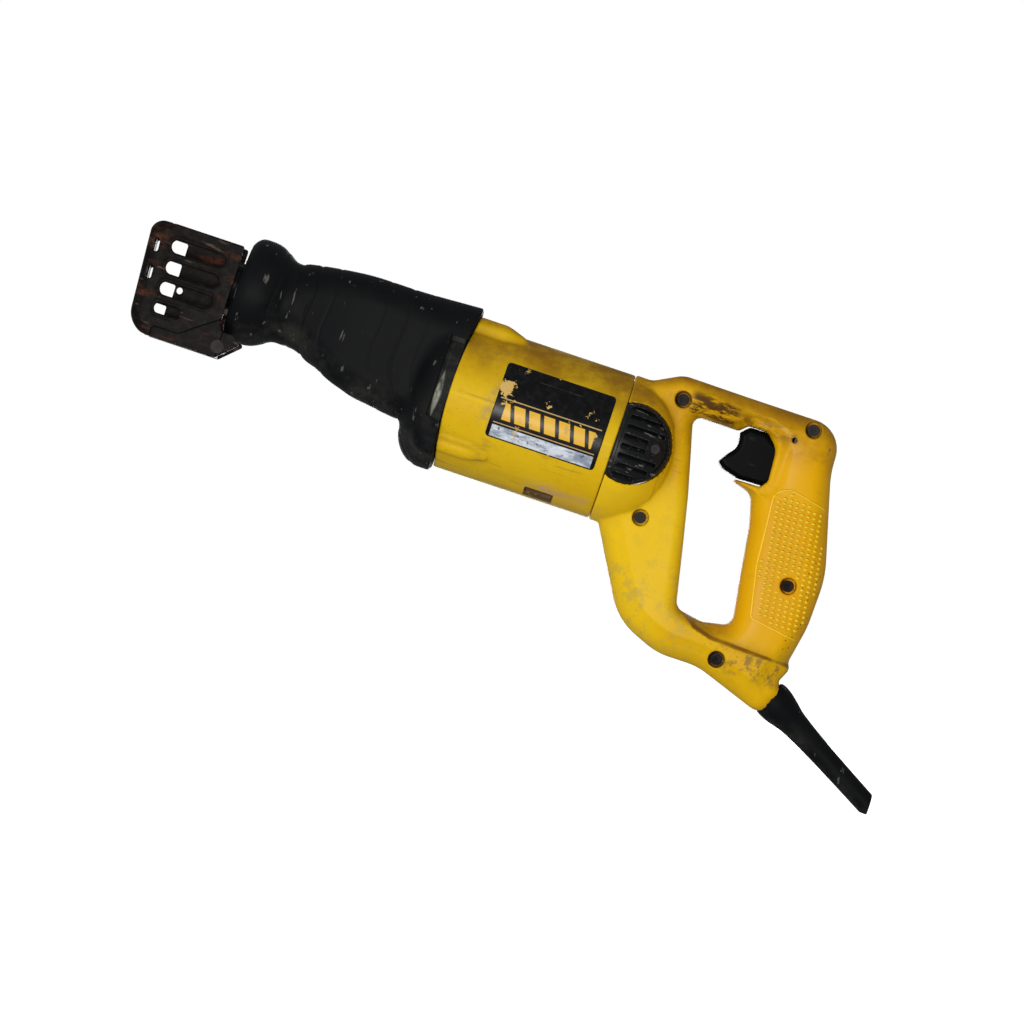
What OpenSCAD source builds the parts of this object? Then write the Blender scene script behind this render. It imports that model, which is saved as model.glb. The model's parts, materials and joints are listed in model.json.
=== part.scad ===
// Reciprocating saw with a D handle, as an assembly of separate pieces.
// X runs along the tool with the blade end towards -X, Y across it, Z up.
// The origin is on the spindle axis, at the mouth of the blade clamp at mid stroke.

/* [Motor] */
// Height of the motor axis above the spindle axis
motor_z = -20; // [-20:0.5:-19]
// Outer radius of the motor housing
motor_r = 45; // [44.5:0.5:47]
// Wall of the motor housing
motor_wall = 4; // [3.5:0.5:4.5]
// Seam between motor housing and handle
seam_x = 253; // [252:1:255]

/* [Gear train] */
// Stroke of the spindle
stroke = 28; // [20:1:28]
// Height of the wobble shaft above the spindle axis
shaft_z = -35; // [-35:0.5:-35]
// Place of the wobble hub along the tool
hub_x = 140; // [139:1:141]
// Teeth on the armature pinion
pinion_teeth = 8; // [8:1:8]
// Teeth on the drive gear
gear_teeth = 32; // [32:1:32]
// Radius of the spindle
spindle_r = 9; // [8.5:0.25:9]

/* [Boot and nose] */
// Thickness of the rubber boot
boot_t = 3; // [2:0.5:3.5]
// Outer radius of the front ring of the boot
ring_r = 32.5; // [31:0.5:33]

/* [Shoe] */
// Reach of the shoe in front of the blade clamp
shoe_reach = 50; // [40:1:60]
// Half width of the shoe
shoe_half = 25; // [25:1:30]
// Thickness of the stamped steel
shoe_t = 2.5; // [2:0.25:3]
// Height of the shoe pivot
pivot_z = -38.5; // [-39:0.5:-38]

/* [Handle] */
// Half width of the hand grip
grip_half = 17; // [16:0.5:19]
// Half width of the front web of the handle
web_half = 20; // [19:0.5:24]
// Wall of the handle halves
handle_wall = 3; // [2.5:0.5:3.5]

/* [Cord outlet] */
// Slope of the cord protector below the tool axis, in degrees
cord_slope = 29.5; // [25:0.5:32]
// Length of the cord protector
protector_len = 103; // [80:1:110]
// Radius of the bore for the cord
cord_bore_r = 4; // [3.5:0.25:4.5]

/* [Hidden] */

$fn = 64;
gap = 0.3;
run = 0.03;

yellow = [0.86, 0.68, 0.12];
rubber = [0.09, 0.10, 0.10];
steel = [0.62, 0.62, 0.60];
dark_steel = [0.22, 0.18, 0.16];
alloy = [0.76, 0.77, 0.78];
brass = [0.78, 0.62, 0.30];
copper = [0.72, 0.42, 0.24];
black_plastic = [0.12, 0.12, 0.13];

// Gear train, worked out from the shaft places
centre_distance = motor_z - shaft_z;
gear_module = 2 * centre_distance / (pinion_teeth + gear_teeth);
arm_len = -shaft_z;
tilt_max = stroke / 2 / arm_len * 180 / PI;
gear_x = [151.8, 158.5];
pinion_x = [151.8, 160];
hub_ball_r = 8.4;
wobble_r = 12;
wobble_half = 4.2;
arm_ball_r = 5.5;
stub_reach = wobble_r + 2.5;
slot_half = 6.2;
spindle_x = [18, hub_x + slot_half + 3];
plate_x = [164, 167];
case_rear_x = 150;
cover_r = motor_r - motor_wall - 0.2;

// Half width of the window for the blade in the shoe's front plate
blade_way_half = 10;

// Boot: its bell ends and its body starts here
bell_end_x = 44;

// Motor, from front to rear
front_bearing_x = [164.5, 169.5];
fan_x = [173, 180];
core_x = [186, 230];
coil_x = [182, 234];
commutator_x = [237, 250];
brush_x = 243.5;
brush_plate_x = [250.5, 253.5];
rear_bearing_x = [256, 262];
core_r = 20.5;
field_r = motor_r - motor_wall - 0.2;
shaft_r = 4;

// Screw places: motor screws as [y, z], handle screws as [x, z]
case_screws = [for (s = [-1, 1]) each [[s * 16, 22], [s * 33, -50.5]]];
handle_bosses = [[284, 20], [282, -55], [364, 27.5], [379, -66], [352, -121]];

// Floor of the recesses that the handle screws sit in
recess_floor_y = -6;

// Rear dome of the handle over the motor
dome_x0 = 256;
dome_len = 38.5;
dome_wall = 3.5;

// Outlines in the XZ plane, each corner as [x, z, corner radius]
handle_outline = [[seam_x, 25, 0], [263, 25, 12], [280, 34, 16], [381.5, 34, 18],
    [382.5, 6, 60], [399.2, -54, 70], [398.4, -86, 70], [394.4, -108, 6],
    [395.8, -114, 5], [392, -122, 3], [396.5, -129, 7], [388, -144.6, 9],
    [343, -128.8, 40], [317, -128.8, 40], [289, -117.5, 40], [259, -65, 3],
    [seam_x, -65, 0]];
opening_outline = [[292.8, 13.2, 5], [322, 13.2, 3], [327, 18, 3], [338.4, 18, 7],
    [346.4, 9.4, 12], [347.8, -10, 3], [344.5, -14.8, 2], [328.4, -15.2, 0.8],
    [328.4, -16.6, 0.6], [341, -20.4, 8], [346, -38, 30], [355, -99, 6],
    [337, -102.6, 10], [319.5, -99.5, 7], [311.5, -62, 60], [305, -33, 60]];
web_region = [[200, 60], [301, 60], [301, -40], [318, -98], [330, -106],
    [345, -110], [420, -112], [420, -160], [200, -160]];

// Trigger hinge and outline
trigger_pivot = [334, 8];
trigger_outline = [[322.8, 12.4, 1], [327.7, 17.1, 3], [337, 17, 7], [345.2, 9, 11],
    [347, -9, 3], [344, -13.4, 2], [330, -14, 6], [320, -11.5, 5], [312.6, -5.6, 2],
    [325, 2, 9]];

// Cord outlet
cord_origin = [378, 0, -125.5];

// Side window of the vent and label
vent_centre = [262.8, -15];
vent_r = 24;
vent_screw = [277, -14];
label_x = [178, 246];
label_z = [-38, 8];

function unit(v) = v / norm(v);
function corner_points(a, b, c, r, n) =
    r <= 0 ? [b] :
    let (u = unit(a - b), w = unit(c - b), half = acos(u * w) / 2,
        centre = b + unit(u + w) * r / sin(half),
        p = b + u * r / tan(half) - centre, q = b + w * r / tan(half) - centre,
        start = atan2(p[1], p[0]), turn = atan2(p[0] * q[1] - p[1] * q[0], p * q))
    [for (i = [0:n]) centre + r * [cos(start + turn * i / n), sin(start + turn * i / n)]];
function flat(p) = [p[0], p[1]];
function rounded(c, n = 5) =
    [for (i = [0:len(c) - 1])
        each corner_points(flat(c[(i + len(c) - 1) % len(c)]), flat(c[i]),
            flat(c[(i + 1) % len(c)]), c[i][2], n)];

// Straight-bore gear helpers: involute flanks with a little backlash
pressure = 28;
function involute(base, r) =
    let (a = acos(min(1, base / r))) tan(a) * 180 / PI - a;
function tooth_half(teeth, r) =
    let (pitch = gear_module * teeth / 2, base = pitch * cos(pressure))
    90 / teeth - 0.16 / pitch * 180 / PI + involute(base, pitch)
        - involute(base, max(r, base));
function gear_points(teeth) =
    let (pitch = gear_module * teeth / 2, root = pitch - 0.95 * gear_module,
        tip = pitch + 0.68 * gear_module,
        radii = [for (i = [0:3]) root + (tip - root) * i / 3])
    [for (t = [0:teeth - 1]) each concat(
        [for (r = radii) r * [cos(360 * t / teeth - tooth_half(teeth, r)),
            sin(360 * t / teeth - tooth_half(teeth, r))]],
        [for (i = [3:-1:0]) let (r = radii[i])
            r * [cos(360 * t / teeth + tooth_half(teeth, r)),
                sin(360 * t / teeth + tooth_half(teeth, r))]])];

// A round bar along X
module bar_x(x, r, z = 0, y = 0) {
    translate([x[0], y, z]) rotate([0, 90, 0]) cylinder(r = r, h = x[1] - x[0]);
}

// A tube along X
module tube_x(x, r_out, r_in, z = 0, y = 0) {
    difference() {
        bar_x(x, r_out, z, y);
        bar_x([x[0] - 1, x[1] + 1], r_in, z, y);
    }
}

// A round bar along Y
module bar_y(p, y, r) {
    translate([p[0], y[0], p[1]]) rotate([-90, 0, 0]) cylinder(r = r, h = y[1] - y[0]);
}

// A box from its two corners
module block(a, b) { translate(a) cube(b - a); }

// A plate in the XZ plane between two Y values
module plate_y(y) {
    translate([0, y[1], 0]) rotate([90, 0, 0]) linear_extrude(y[1] - y[0]) children();
}

// A thin rounded slab across the tool, used as a station of a hull
module station(x, half, z, r) {
    translate([x, 0, (z[0] + z[1]) / 2]) rotate([0, 90, 0])
        linear_extrude(0.1) offset(r = r, $fn = 32)
            square([z[1] - z[0] - 2 * r, 2 * half - 2 * r], center = true);
}

// A coil spring of round wire along Z
module coil(r, wire, turns, height) {
    sides = 6;
    steps = turns * 12;
    ring = [for (i = [0:steps], s = [0:sides - 1])
        let (a = 360 * turns * i / steps, b = 360 * s / sides,
            reach = r + wire * cos(b))
        [reach * cos(a), reach * sin(a), height * i / steps + wire * sin(b)]];
    sleeve = [for (i = [0:steps - 1], s = [0:sides - 1])
        let (n = (s + 1) % sides)
        [i * sides + s, i * sides + n, (i + 1) * sides + n, (i + 1) * sides + s]];
    ends = [[for (s = [sides - 1:-1:0]) s], [for (s = [0:sides - 1]) steps * sides + s]];
    polyhedron(ring, concat(sleeve, ends));
}

// A screw along -Y: head at the outside, shank pointing to +Y
module side_screw(head_r, head_h, shank_r, shank_len) {
    rotate([-90, 0, 0]) {
        difference() {
            cylinder(r = head_r, h = head_h);
            translate([0, 0, -1]) cylinder(r = head_r * 0.5, h = 1 + head_h * 0.55, $fn = 6);
        }
        translate([0, 0, head_h]) cylinder(r = shank_r, h = shank_len);
    }
}

// ---- Handle ----

module handle_shape(inset) {
    offset(delta = -inset) difference() {
        polygon(rounded(handle_outline));
        polygon(rounded(opening_outline));
    }
}

module web_shape(inset) {
    intersection() {
        handle_shape(inset);
        offset(delta = -inset) polygon(web_region);
    }
}

// Quarter ellipse of revolution that closes the handle over the rear of the motor
module dome(x0, inset) {
    translate([0, 0, motor_z]) rotate([0, 90, 0]) rotate_extrude()
        polygon(concat([[0, x0], [motor_r - inset, x0]],
            [for (a = [0:7.5:90]) [max(0, (motor_r - inset) * cos(a)),
                dome_x0 + (dome_len - inset) * sin(a)]]));
}

module cord_frame() { translate(cord_origin) rotate([0, 90 + cord_slope, 0]) children(); }

module handle_solid() {
    dome(seam_x, 0);
    for (edge = [[4, 0], [1.6, 1.2], [0, 3]]) {
        plate_y([edge[0] - grip_half, grip_half - edge[0]]) handle_shape(edge[1]);
        plate_y([edge[0] - web_half, web_half - edge[0]]) web_shape(edge[1]);
    }
}

module handle_cavity() {
    dome(seam_x - 1, dome_wall);
    plate_y([handle_wall - grip_half, grip_half - handle_wall])
        handle_shape(handle_wall + 0.5);
    // Way through to the switch for the trigger
    block([343, -11.2, -13.9], [354, 11.2, 15.8]);
}

module handle_shell() {
    difference() {
        handle_solid();
        difference() {
            handle_cavity();
            for (b = handle_bosses) bar_y(b, [-web_half, web_half], 6.5);
        }
        // Cord outlet: neck, flange groove and mouth
        cord_frame() {
            translate([0, 0, -9]) cylinder(r = 9, h = 40);
            translate([0, 0, 3]) cylinder(r = 11.4, h = 4);
            translate([0, 0, 12]) cylinder(r = 12, h = 30);
        }
        // Side openings for the vent covers
        for (s = [-1, 1]) vent_prism(s, 0.2);
    }
}

module vent_prism(side, grow) {
    y = side < 0 ? [-60, -22] : [22, 60];
    plate_y(y) intersection() {
        translate(vent_centre) circle(r = vent_r + grow);
        translate([seam_x - grow, -60]) square([60, 100]);
    }
}

module handle_left() {
    color(yellow) difference() {
        intersection() {
            handle_shell();
            block([200, -60, -200], [420, 0, 60]);
        }
        for (b = handle_bosses) {
            bar_y(b, [-60, recess_floor_y], 5);
            bar_y(b, [recess_floor_y - 1, 1], 2.2);
        }
    }
}

module handle_right() {
    color(yellow) {
        difference() {
            intersection() {
                handle_shell();
                block([200, 0, -200], [420, 60, 60]);
            }
            for (b = handle_bosses) bar_y(b, [-1, 12], 1.9);
        }
        cord_frame() for (x = [-8.5, 8.5]) translate([x, 0, -12]) difference() {
            rotate([-90, 0, 0]) translate([0, 0, -4.5]) cylinder(r = 3.3, h = 18.8);
            rotate([-90, 0, 0]) translate([0, 0, -5]) cylinder(r = 1.4, h = 10);
        }
    }
}

module handle_screws() {
    color(steel) for (b = handle_bosses)
        translate([b[0], recess_floor_y - 3, b[1]]) side_screw(3.5, 3, 1.9, 17.5);
}

// Louvred cover that closes each side of the dome
module vent_cover(side) {
    color(black_plastic) difference() {
        intersection() {
            difference() {
                dome(seam_x, -0.6);
                dome(seam_x - 1, dome_wall);
            }
            vent_prism(side, 0);
        }
        for (i = [-3:2]) translate([vent_centre[0] + 2 - abs(i + 0.5), side * 35,
            vent_centre[1] + 6.8 * i + 3.4]) cube([24 - 2.5 * abs(i + 0.5), 40, 2.6], center = true);
        bar_y(vent_screw, [-60, 60], 1.6);
        bar_y(vent_screw, side < 0 ? [-60, -35.4] : [35.4, 60], 2.9);
    }
}

module vent_cover_left() { vent_cover(-1); }
module vent_cover_right() { vent_cover(1); }

module vent_screws() {
    color(dark_steel) for (s = [0, 1]) mirror([0, s, 0])
        translate([vent_screw[0], -38, vent_screw[1]]) side_screw(2.8, 2.6, 1.5, 6);
}

// ---- Motor housing ----

module motor_housing() {
    color(yellow) difference() {
        union() {
            bar_x([case_rear_x, seam_x], motor_r, motor_z);
            for (p = case_screws) {
                bar_x([case_rear_x, 170], 7, p[1], p[0]);
                translate([170, p[0], p[1]]) rotate([0, 90, 0]) cylinder(r1 = 7, r2 = 2, h = 15);
            }
        }
        bar_x([case_rear_x - 1, seam_x + 1], motor_r - motor_wall, motor_z);
        for (p = case_screws) bar_x([case_rear_x - 1, 168], 2.1, p[1], p[0]);
    }
}

// Thin plate that follows the side of the motor housing
module label_plate(side) {
    color(black_plastic) intersection() {
        tube_x(label_x, motor_r + 0.4, motor_r, motor_z);
        translate([0, side * 45, 0]) plate_y([-25, 25])
            polygon(rounded([[label_x[0], label_z[0], 2], [label_x[1], label_z[0], 2],
                [label_x[1], label_z[1], 2], [label_x[0], label_z[1], 2]], 4));
    }
}

module label_left() { label_plate(-1); }
module label_right() { label_plate(1); }

// ---- Gear case and boot ----

// Outer shape of the gear case, grown by t for the boot that covers it
module case_shape(t) {
    hull() { station(44, 20 + t, [-21 - t, 22 + t], 14 + t);
        station(80, 27 + t, [-34 - t, 28 + t], 16 + t); }
    hull() { station(80, 27 + t, [-34 - t, 28 + t], 16 + t);
        station(128, 32 + t, [-42 - t, 30 + t], 18 + t); }
    hull() { station(128, 32 + t, [-42 - t, 30 + t], 18 + t);
        station(case_rear_x - 0.1, 34 + t, [-44 - t, 30.5 + t], 18 + t); }
    // Round flange that meets the motor housing
    translate([0, 0, motor_z]) rotate([0, 90, 0]) rotate_extrude()
        polygon(concat([[0, case_rear_x], [motor_r + t, case_rear_x]],
            [for (a = [0:15:90]) [25 + (20 + t) * cos(a), 146 - (16 + t) * sin(a)]],
            [[0, 130 - t]]));
    for (p = case_screws) bar_x([142 - t, case_rear_x], 6.5 + t, p[1], p[0]);
}

module gear_case() {
    color(alloy) difference() {
        union() {
            case_shape(0);
            bar_x([40, 46], 20.5);
        }
        // Spindle way and the seats of its bushes and seal
        bar_x([39, 120], spindle_r + 0.8);
        bar_x([46, 64], 12);
        bar_x([98, 112], 12);
        bar_x([41, 45], 13.5);
        // Hollow between the two bushes
        block([70, -20, -24], [92, 20, 20]);
        // Chamber for the wobble drive and the drive gear
        block([114, -22, -28], [case_rear_x + 1, 22, 15]);
        bar_x([130.6, 134.1], 12.6, shaft_z);
        bar_x([134, case_rear_x + 1], 15.5, shaft_z);
        bar_x([124.5, 131], 5, shaft_z);
        // Slot and screw for the shoe post
        block([39, -9.1, -18.6], [70.5, 9.1, -14.9]);
        translate([58, 0, -45]) cylinder(r = 2.2, h = 30);
        translate([58, 0, -50]) cylinder(r = 4.4, h = 27.5);
        // Motor screws, with pockets for their heads
        for (p = case_screws) {
            bar_x([138, case_rear_x + 1], 2.7, p[1], p[0]);
            bar_x([128, 142], 4.6, p[1], p[0]);
        }
        for (s = [-1, 1]) block([128, s * 16 - 4.6, 22], [142, s * 16 + 4.6, 40]);
    }
}

module gear_case_screws() {
    color(steel) for (p = case_screws) translate([138.5, p[0], p[1]])
        rotate([0, 0, -90]) side_screw(4, 3.5, 2.08, 24);
}

// Bearing plate between the gear chamber and the motor
module gear_case_cover() {
    color(alloy) difference() {
        union() {
            tube_x([case_rear_x, plate_x[0]], cover_r, cover_r - 3.5, motor_z);
            bar_x(plate_x, cover_r, motor_z);
            bar_x([plate_x[0], 170.5], 10.5, motor_z);
            bar_x([plate_x[0], 170.5], 8.5, shaft_z);
        }
        bar_x([plate_x[0] - 1, 169.5], 8, motor_z);
        bar_x([169, 172], 5.5, motor_z);
        bar_x([plate_x[0] - 1, 169.5], 6, shaft_z);
    }
}

// Whole rubber moulding, made as two nodes that meet at bell_end_x
module boot_moulding() {
    difference() {
        union() {
            case_shape(boot_t);
            // Round bell at the front and the neck behind it
            rotate([0, 90, 0]) rotate_extrude() polygon(rounded([[20, 9, 0],
                [ring_r, 9, 4], [ring_r, 34, 7], [24.8, 40, 2], [24.8, 50, 0], [20, 50, 0]]));
        }
        case_shape(0);
        rotate([0, 90, 0]) rotate_extrude() polygon([[0, 8], [26.5, 8], [26.5, 30],
            [21.5, 37], [21.5, 50], [0, 50]]);
        // Rear edge, with a notch on each side where the flange shows
        block([142, -70, -39], [152, -30, 13]);
        block([142, 30, -39], [152, 70, 13]);
        for (p = case_screws) bar_x([138, 142.5], 4.6, p[1], p[0]);
        for (s = [-1, 1]) block([128, s * 16 - 4.6, 22], [142, s * 16 + 4.6, 30.2]);
        translate([58, 0, -45]) cylinder(r = 4.4, h = 25);
    }
}
module boot() {
    color(rubber) intersection() {
        boot_moulding();
        block([bell_end_x, -80, -90], [160, 80, 60]);
    }
}
module boot_bell() {
    color(rubber) intersection() {
        boot_moulding();
        block([0, -80, -90], [bell_end_x, 80, 60]);
    }
}

// ---- Shoe ----

// A slot with round ends, level or upright
module slot_shape(a, b, r) {
    for (p = [a, b]) translate(p) circle(r = r);
    level = b[0] != a[0];
    translate(level ? [a[0], a[1] - r] : [a[0] - r, a[1]])
        square(level ? [b[0] - a[0], 2 * r] : [2 * r, b[1] - a[1]]);
}

// Both side walls of the shoe, seen from the side, without their windows
module shoe_side_shape() {
    polygon(rounded([[-shoe_reach, 23.4, 8], [7, 23.4, 1.5], [7, -22, 2],
        [-15, -38.4, 4], [-33, -38.4, 3], [-33, -45, 0], [-shoe_reach, -45, 13]]));
}

// Left wall: long windows, with two small upright ones near the front bend
module shoe_left_windows() {
    for (z = [10.5, -2.4, -15.3]) slot_shape([-31, z], [-5, z], 3.9);
    slot_shape([-32, -27.6], [-20, -27.6], 3);
    for (z = [5.5, -11]) slot_shape([-44.3, z], [-44.3, z + 4.4], 1.7);
}

// Right wall: short windows at the front, two upright slots and a small round hole
module short_window(x1, z, half) {
    polygon(rounded([[-40, z - half, 2], [x1, z - half, 1.2], [x1, z + half, 1.2],
        [-40, z + half, 2]]));
}

module shoe_right_windows() {
    for (z = [11.1, -1.9, -14.8]) short_window(-28.9, z, 4.1);
    short_window(-30.7, -27.5, 3);
    translate([-25.4, -13.1]) circle(r = 2);
    for (z = [6, -10.6]) slot_shape([-45.6, z], [-45.6, z + 4.4], 1.7);
}

module shoe() {
    color(dark_steel) {
        difference() {
            union() {
                for (s = [-1, 1]) plate_y(s < 0 ? [-shoe_half, shoe_t - shoe_half]
                    : [shoe_half - shoe_t, shoe_half]) shoe_side_shape();
                // Front plate and floor, bent from one strip
                plate_y([-shoe_half, shoe_half]) polygon(rounded([[-38, 23.4, 0],
                    [-shoe_reach, 23.4, 8], [-shoe_reach, -45, 13], [10, -45, 0],
                    [10, -42.7, 0], [shoe_t - shoe_reach, -42.7, 10.7],
                    [shoe_t - shoe_reach, 23.4 - shoe_t, 5.5], [-38, 23.4 - shoe_t, 0]]));
                // Flanges turned up from the floor, with the lugs for the pivot pin
                for (s = [-1, 1]) translate([0, s * 21, 0]) plate_y([-1.5, 1.5])
                    polygon(rounded([[-36, -45, 0], [10.5, -45, 2], [22.5, -33.6, 1.5],
                        [17.5, -29, 3], [9, -29, 1], [7.2, -25.4, 1.5], [0, -25.4, 3],
                        [-14, -35.5, 3], [-36, -37.5, 0]]));
            }
            bar_y([10, pivot_z], [-30, 30], 3.04);
            plate_y([-shoe_half - 1, -shoe_half / 2]) shoe_left_windows();
            plate_y([shoe_half / 2, shoe_half + 1]) shoe_right_windows();
            // Way for the blade through the front plate
            block([-60, -blade_way_half, -14], [-40, blade_way_half, 14]);
        }
    }
}

module shoe_pivot_pin() {
    color(steel) {
        bar_y([10, pivot_z], [-22.8, 22.8], 3);
        for (y = [-24.2, 22.8]) bar_y([10, pivot_z], [y, y + 1.4], 4);
    }
}

// Flat bar that carries the shoe, with a barrel for the pin
module shoe_post() {
    color(steel) difference() {
        union() {
            block([2, -9, -18.5], [70, 9, -15]);
            block([2, -9, -40.2], [5.5, 9, -15]);
            block([2, -9, -40.2], [10, 9, -36.8]);
            bar_y([10, pivot_z], [-17, 17], 3.9);
        }
        bar_y([10, pivot_z], [-20, 20], 3.04);
        translate([58, 0, -20]) cylinder(r = 2, h = 10);
    }
}

module shoe_post_screw() {
    color(steel) translate([58, 0, -26]) difference() {
        union() {
            cylinder(r = 3.9, h = 3.5);
            cylinder(r = 1.98, h = 11);
        }
        translate([0, 0, -1]) cylinder(r = 2, h = 3, $fn = 6);
    }
}

// ---- Spindle and blade clamp ----

module blade_clamp() {
    color(steel) difference() {
        union() {
            bar_x([0, 26], 10.5);
            bar_x([0, 3], 12);
            bar_x([17, 26], 12);
        }
        bar_x([18, 27], spindle_r);
        block([-1, -0.9, -6.6], [18.1, 0.9, 6.6]);
        bar_y([10, 0], [-20, 0], 2.6);
    }
}

module clamp_screw() {
    color(dark_steel) translate([10, -9.8, 0]) rotate([-90, 0, 0]) difference() {
        cylinder(r = 2.55, h = 8.8);
        translate([0, 0, -1]) cylinder(r = 1.5, h = 5, $fn = 6);
    }
}

// Sleeve that turns on the clamp to lock the blade
module clamp_collar() {
    color(black_plastic) difference() {
        union() {
            bar_x([3.2, 16.8], 13.4);
            for (a = [0:45:315]) rotate([a, 0, 0])
                block([4.4, -1.2, 13], [15.6, 1.2, 14.2]);
        }
        bar_x([3, 17], 10.54);
    }
}

module spindle() {
    color(steel) difference() {
        bar_x(spindle_x, spindle_r);
        // Slot for the ball of the wobble arm
        block([hub_x - slot_half, -arm_ball_r - 0.3, -20], [hub_x + slot_half, arm_ball_r + 0.3, 20]);
        // Drilled core
        bar_x([70, 126], 4.5);
    }
}

module bush(x, r_out, r_in, z) { color(brass) tube_x(x, r_out, r_in, z); }

module spindle_bush_front() { bush([46, 64], 12, spindle_r + run, 0); }
module spindle_bush_rear() { bush([98, 112], 12, spindle_r + run, 0); }
module spindle_seal() { color(rubber) tube_x([41, 45], 13.5, spindle_r + 0.25); }

// ---- Wobble drive ----

// Ring round the hub, with an arm and a ball that reach up into the spindle
module wobble_arm() {
    color(steel) difference() {
        union() {
            bar_x([hub_x - wobble_half, hub_x + wobble_half], wobble_r, shaft_z);
            // Stub pins on the axis that the arm rocks about
            bar_y([hub_x, shaft_z], [-stub_reach, stub_reach], 2.5);
            translate([hub_x, 0, shaft_z + 9]) cylinder(r1 = 3.2, r2 = 2.2, h = arm_len - 11);
            translate([hub_x, 0, -4]) cylinder(r = 2.2, h = 4);
            translate([hub_x, 0, 0]) sphere(r = arm_ball_r, $fn = 40);
        }
        translate([hub_x, 0, shaft_z]) sphere(r = hub_ball_r + 0.4, $fn = 48);
    }
}

// Shaft with a drum that leans by the tilt of the wobble arm
module wobble_shaft() {
    color(steel) {
        bar_x([132, 164.5], shaft_r, shaft_z);
        bar_x([124.8, 132], 3.5, shaft_z);
        bar_x([164.5, 169.2], shaft_r - 0.5, shaft_z);
        translate([hub_x, 0, shaft_z]) rotate([0, 90 - tilt_max, 0])
            cylinder(r = 7, h = 9, center = true);
    }
}

module drive_gear() {
    color(dark_steel) translate([gear_x[0], 0, shaft_z]) rotate([0, 90, 0]) difference() {
        linear_extrude(gear_x[1] - gear_x[0]) rotate([0, 0, 180 / gear_teeth])
            polygon(gear_points(gear_teeth));
        translate([0, 0, -1]) cylinder(r = shaft_r, h = 20);
        for (a = [0:60:300]) rotate([0, 0, a]) translate([7.6, 0, -1]) cylinder(r = 1.7, h = 20);
    }
}

module wobble_bush_front() { bush([124.5, 130.6], 5, shaft_r - 0.5 + run, shaft_z); }
module wobble_bush_rear() { bush([164.6, 169.3], 6, shaft_r - 0.5 + run, shaft_z); }

// ---- Motor ----

module armature_shaft() {
    color(steel) {
        translate([pinion_x[0], 0, motor_z]) rotate([0, 90, 0])
            linear_extrude(pinion_x[1] - pinion_x[0]) polygon(gear_points(pinion_teeth));
        bar_x([pinion_x[1], rear_bearing_x[1] + 1], shaft_r, motor_z);
    }
}

module armature_core() {
    color(dark_steel) difference() {
        tube_x(core_x, core_r, shaft_r, motor_z);
        for (a = [0:30:330]) translate([0, 0, motor_z]) rotate([a, 0, 0])
            block([core_x[0] - 1, -1, core_r - 8], [core_x[1] + 1, 1, core_r + 1]);
    }
}

module armature_windings() {
    color(copper) {
        for (x = [[coil_x[0], core_x[0]], [core_x[1], coil_x[1]]])
            tube_x(x, core_r - 2.5, shaft_r, motor_z);
        for (a = [0:30:330]) translate([0, 0, motor_z]) rotate([a, 0, 0])
            block([core_x[0], -0.9, core_r - 7.8], [core_x[1], 0.9, core_r - 1.5]);
    }
}

module commutator() {
    color(copper) difference() {
        tube_x(commutator_x, 11.5, shaft_r, motor_z);
        for (a = [0:15:345]) translate([0, 0, motor_z]) rotate([a, 0, 0])
            block([commutator_x[0] - 1, -0.25, 10.7], [commutator_x[1] - 2, 0.25, 12]);
    }
}

module motor_fan() {
    color(black_plastic) {
        difference() {
            union() {
                bar_x(fan_x, 8, motor_z);
                bar_x([fan_x[1] - 1.5, fan_x[1]], 34, motor_z);
            }
            bar_x([fan_x[0] - 1, fan_x[1] + 1], shaft_r, motor_z);
        }
        for (a = [0:24:336]) translate([0, 0, motor_z]) rotate([a, 0, 0])
            translate([fan_x[0], 7.5, 0]) rotate([-16, 0, 0])
                cube([fan_x[1] - fan_x[0] - 0.5, 25, 1.2]);
    }
}

module bearing(x, r_out, z) {
    color(steel) {
        tube_x(x, r_out, r_out - 1.4, z);
        tube_x(x, shaft_r + 1.3, shaft_r + run, z);
    }
    color(dark_steel) tube_x([x[0] + 0.4, x[1] - 0.4], r_out - 1.4, shaft_r + 1.3, z);
}

module front_bearing() { bearing(front_bearing_x, 8, motor_z); }
module rear_bearing() { bearing(rear_bearing_x, 9.5, motor_z); }

// Two-pole laminated field with room for its coils
module field_core() {
    color(dark_steel) difference() {
        tube_x(core_x, field_r, core_r + 0.6, motor_z);
        for (s = [-1, 1]) block([core_x[0] - 1, min(s * 20, s * 32), motor_z - 15],
            [core_x[1] + 1, max(s * 20, s * 32), motor_z + 15]);
        // Flats that let the cooling air past
        for (z = [motor_z - 60, motor_z + 35]) block([core_x[0] - 1, -50, z],
            [core_x[1] + 1, 50, z + 25]);
    }
}

module field_coils() {
    color(copper) for (s = [-1, 1])
        block([coil_x[0] - 1, min(s * 23, s * 31), motor_z - 14.6],
            [coil_x[1] + 1, max(s * 23, s * 31), motor_z + 14.6]);
}

module brush_plate() {
    color(black_plastic) difference() {
        union() {
            bar_x(brush_plate_x, motor_r - motor_wall - gap, motor_z);
            bar_x([brush_plate_x[0], rear_bearing_x[1]], 12.5, motor_z);
        }
        bar_x([rear_bearing_x[0], rear_bearing_x[1] + 1], 9.5, motor_z);
        bar_x([brush_plate_x[0] - 1, rear_bearing_x[0] + 1], 6, motor_z);
        // Air holes
        for (a = [30:60:330]) translate([0, 0, motor_z]) rotate([a, 0, 0])
            bar_x([brush_plate_x[0] - 1, brush_plate_x[1] + 1], 6, 26);
    }
}

module brush_holders() {
    color(brass) for (s = [0, 1]) mirror([0, s, 0]) difference() {
        block([brush_x - 5.5, 13.5, motor_z - 6.5], [brush_plate_x[0], 35, motor_z + 6.5]);
        block([brush_x - 4, 12, motor_z - 5], [brush_x + 4, 33.5, motor_z + 5]);
    }
}

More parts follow.
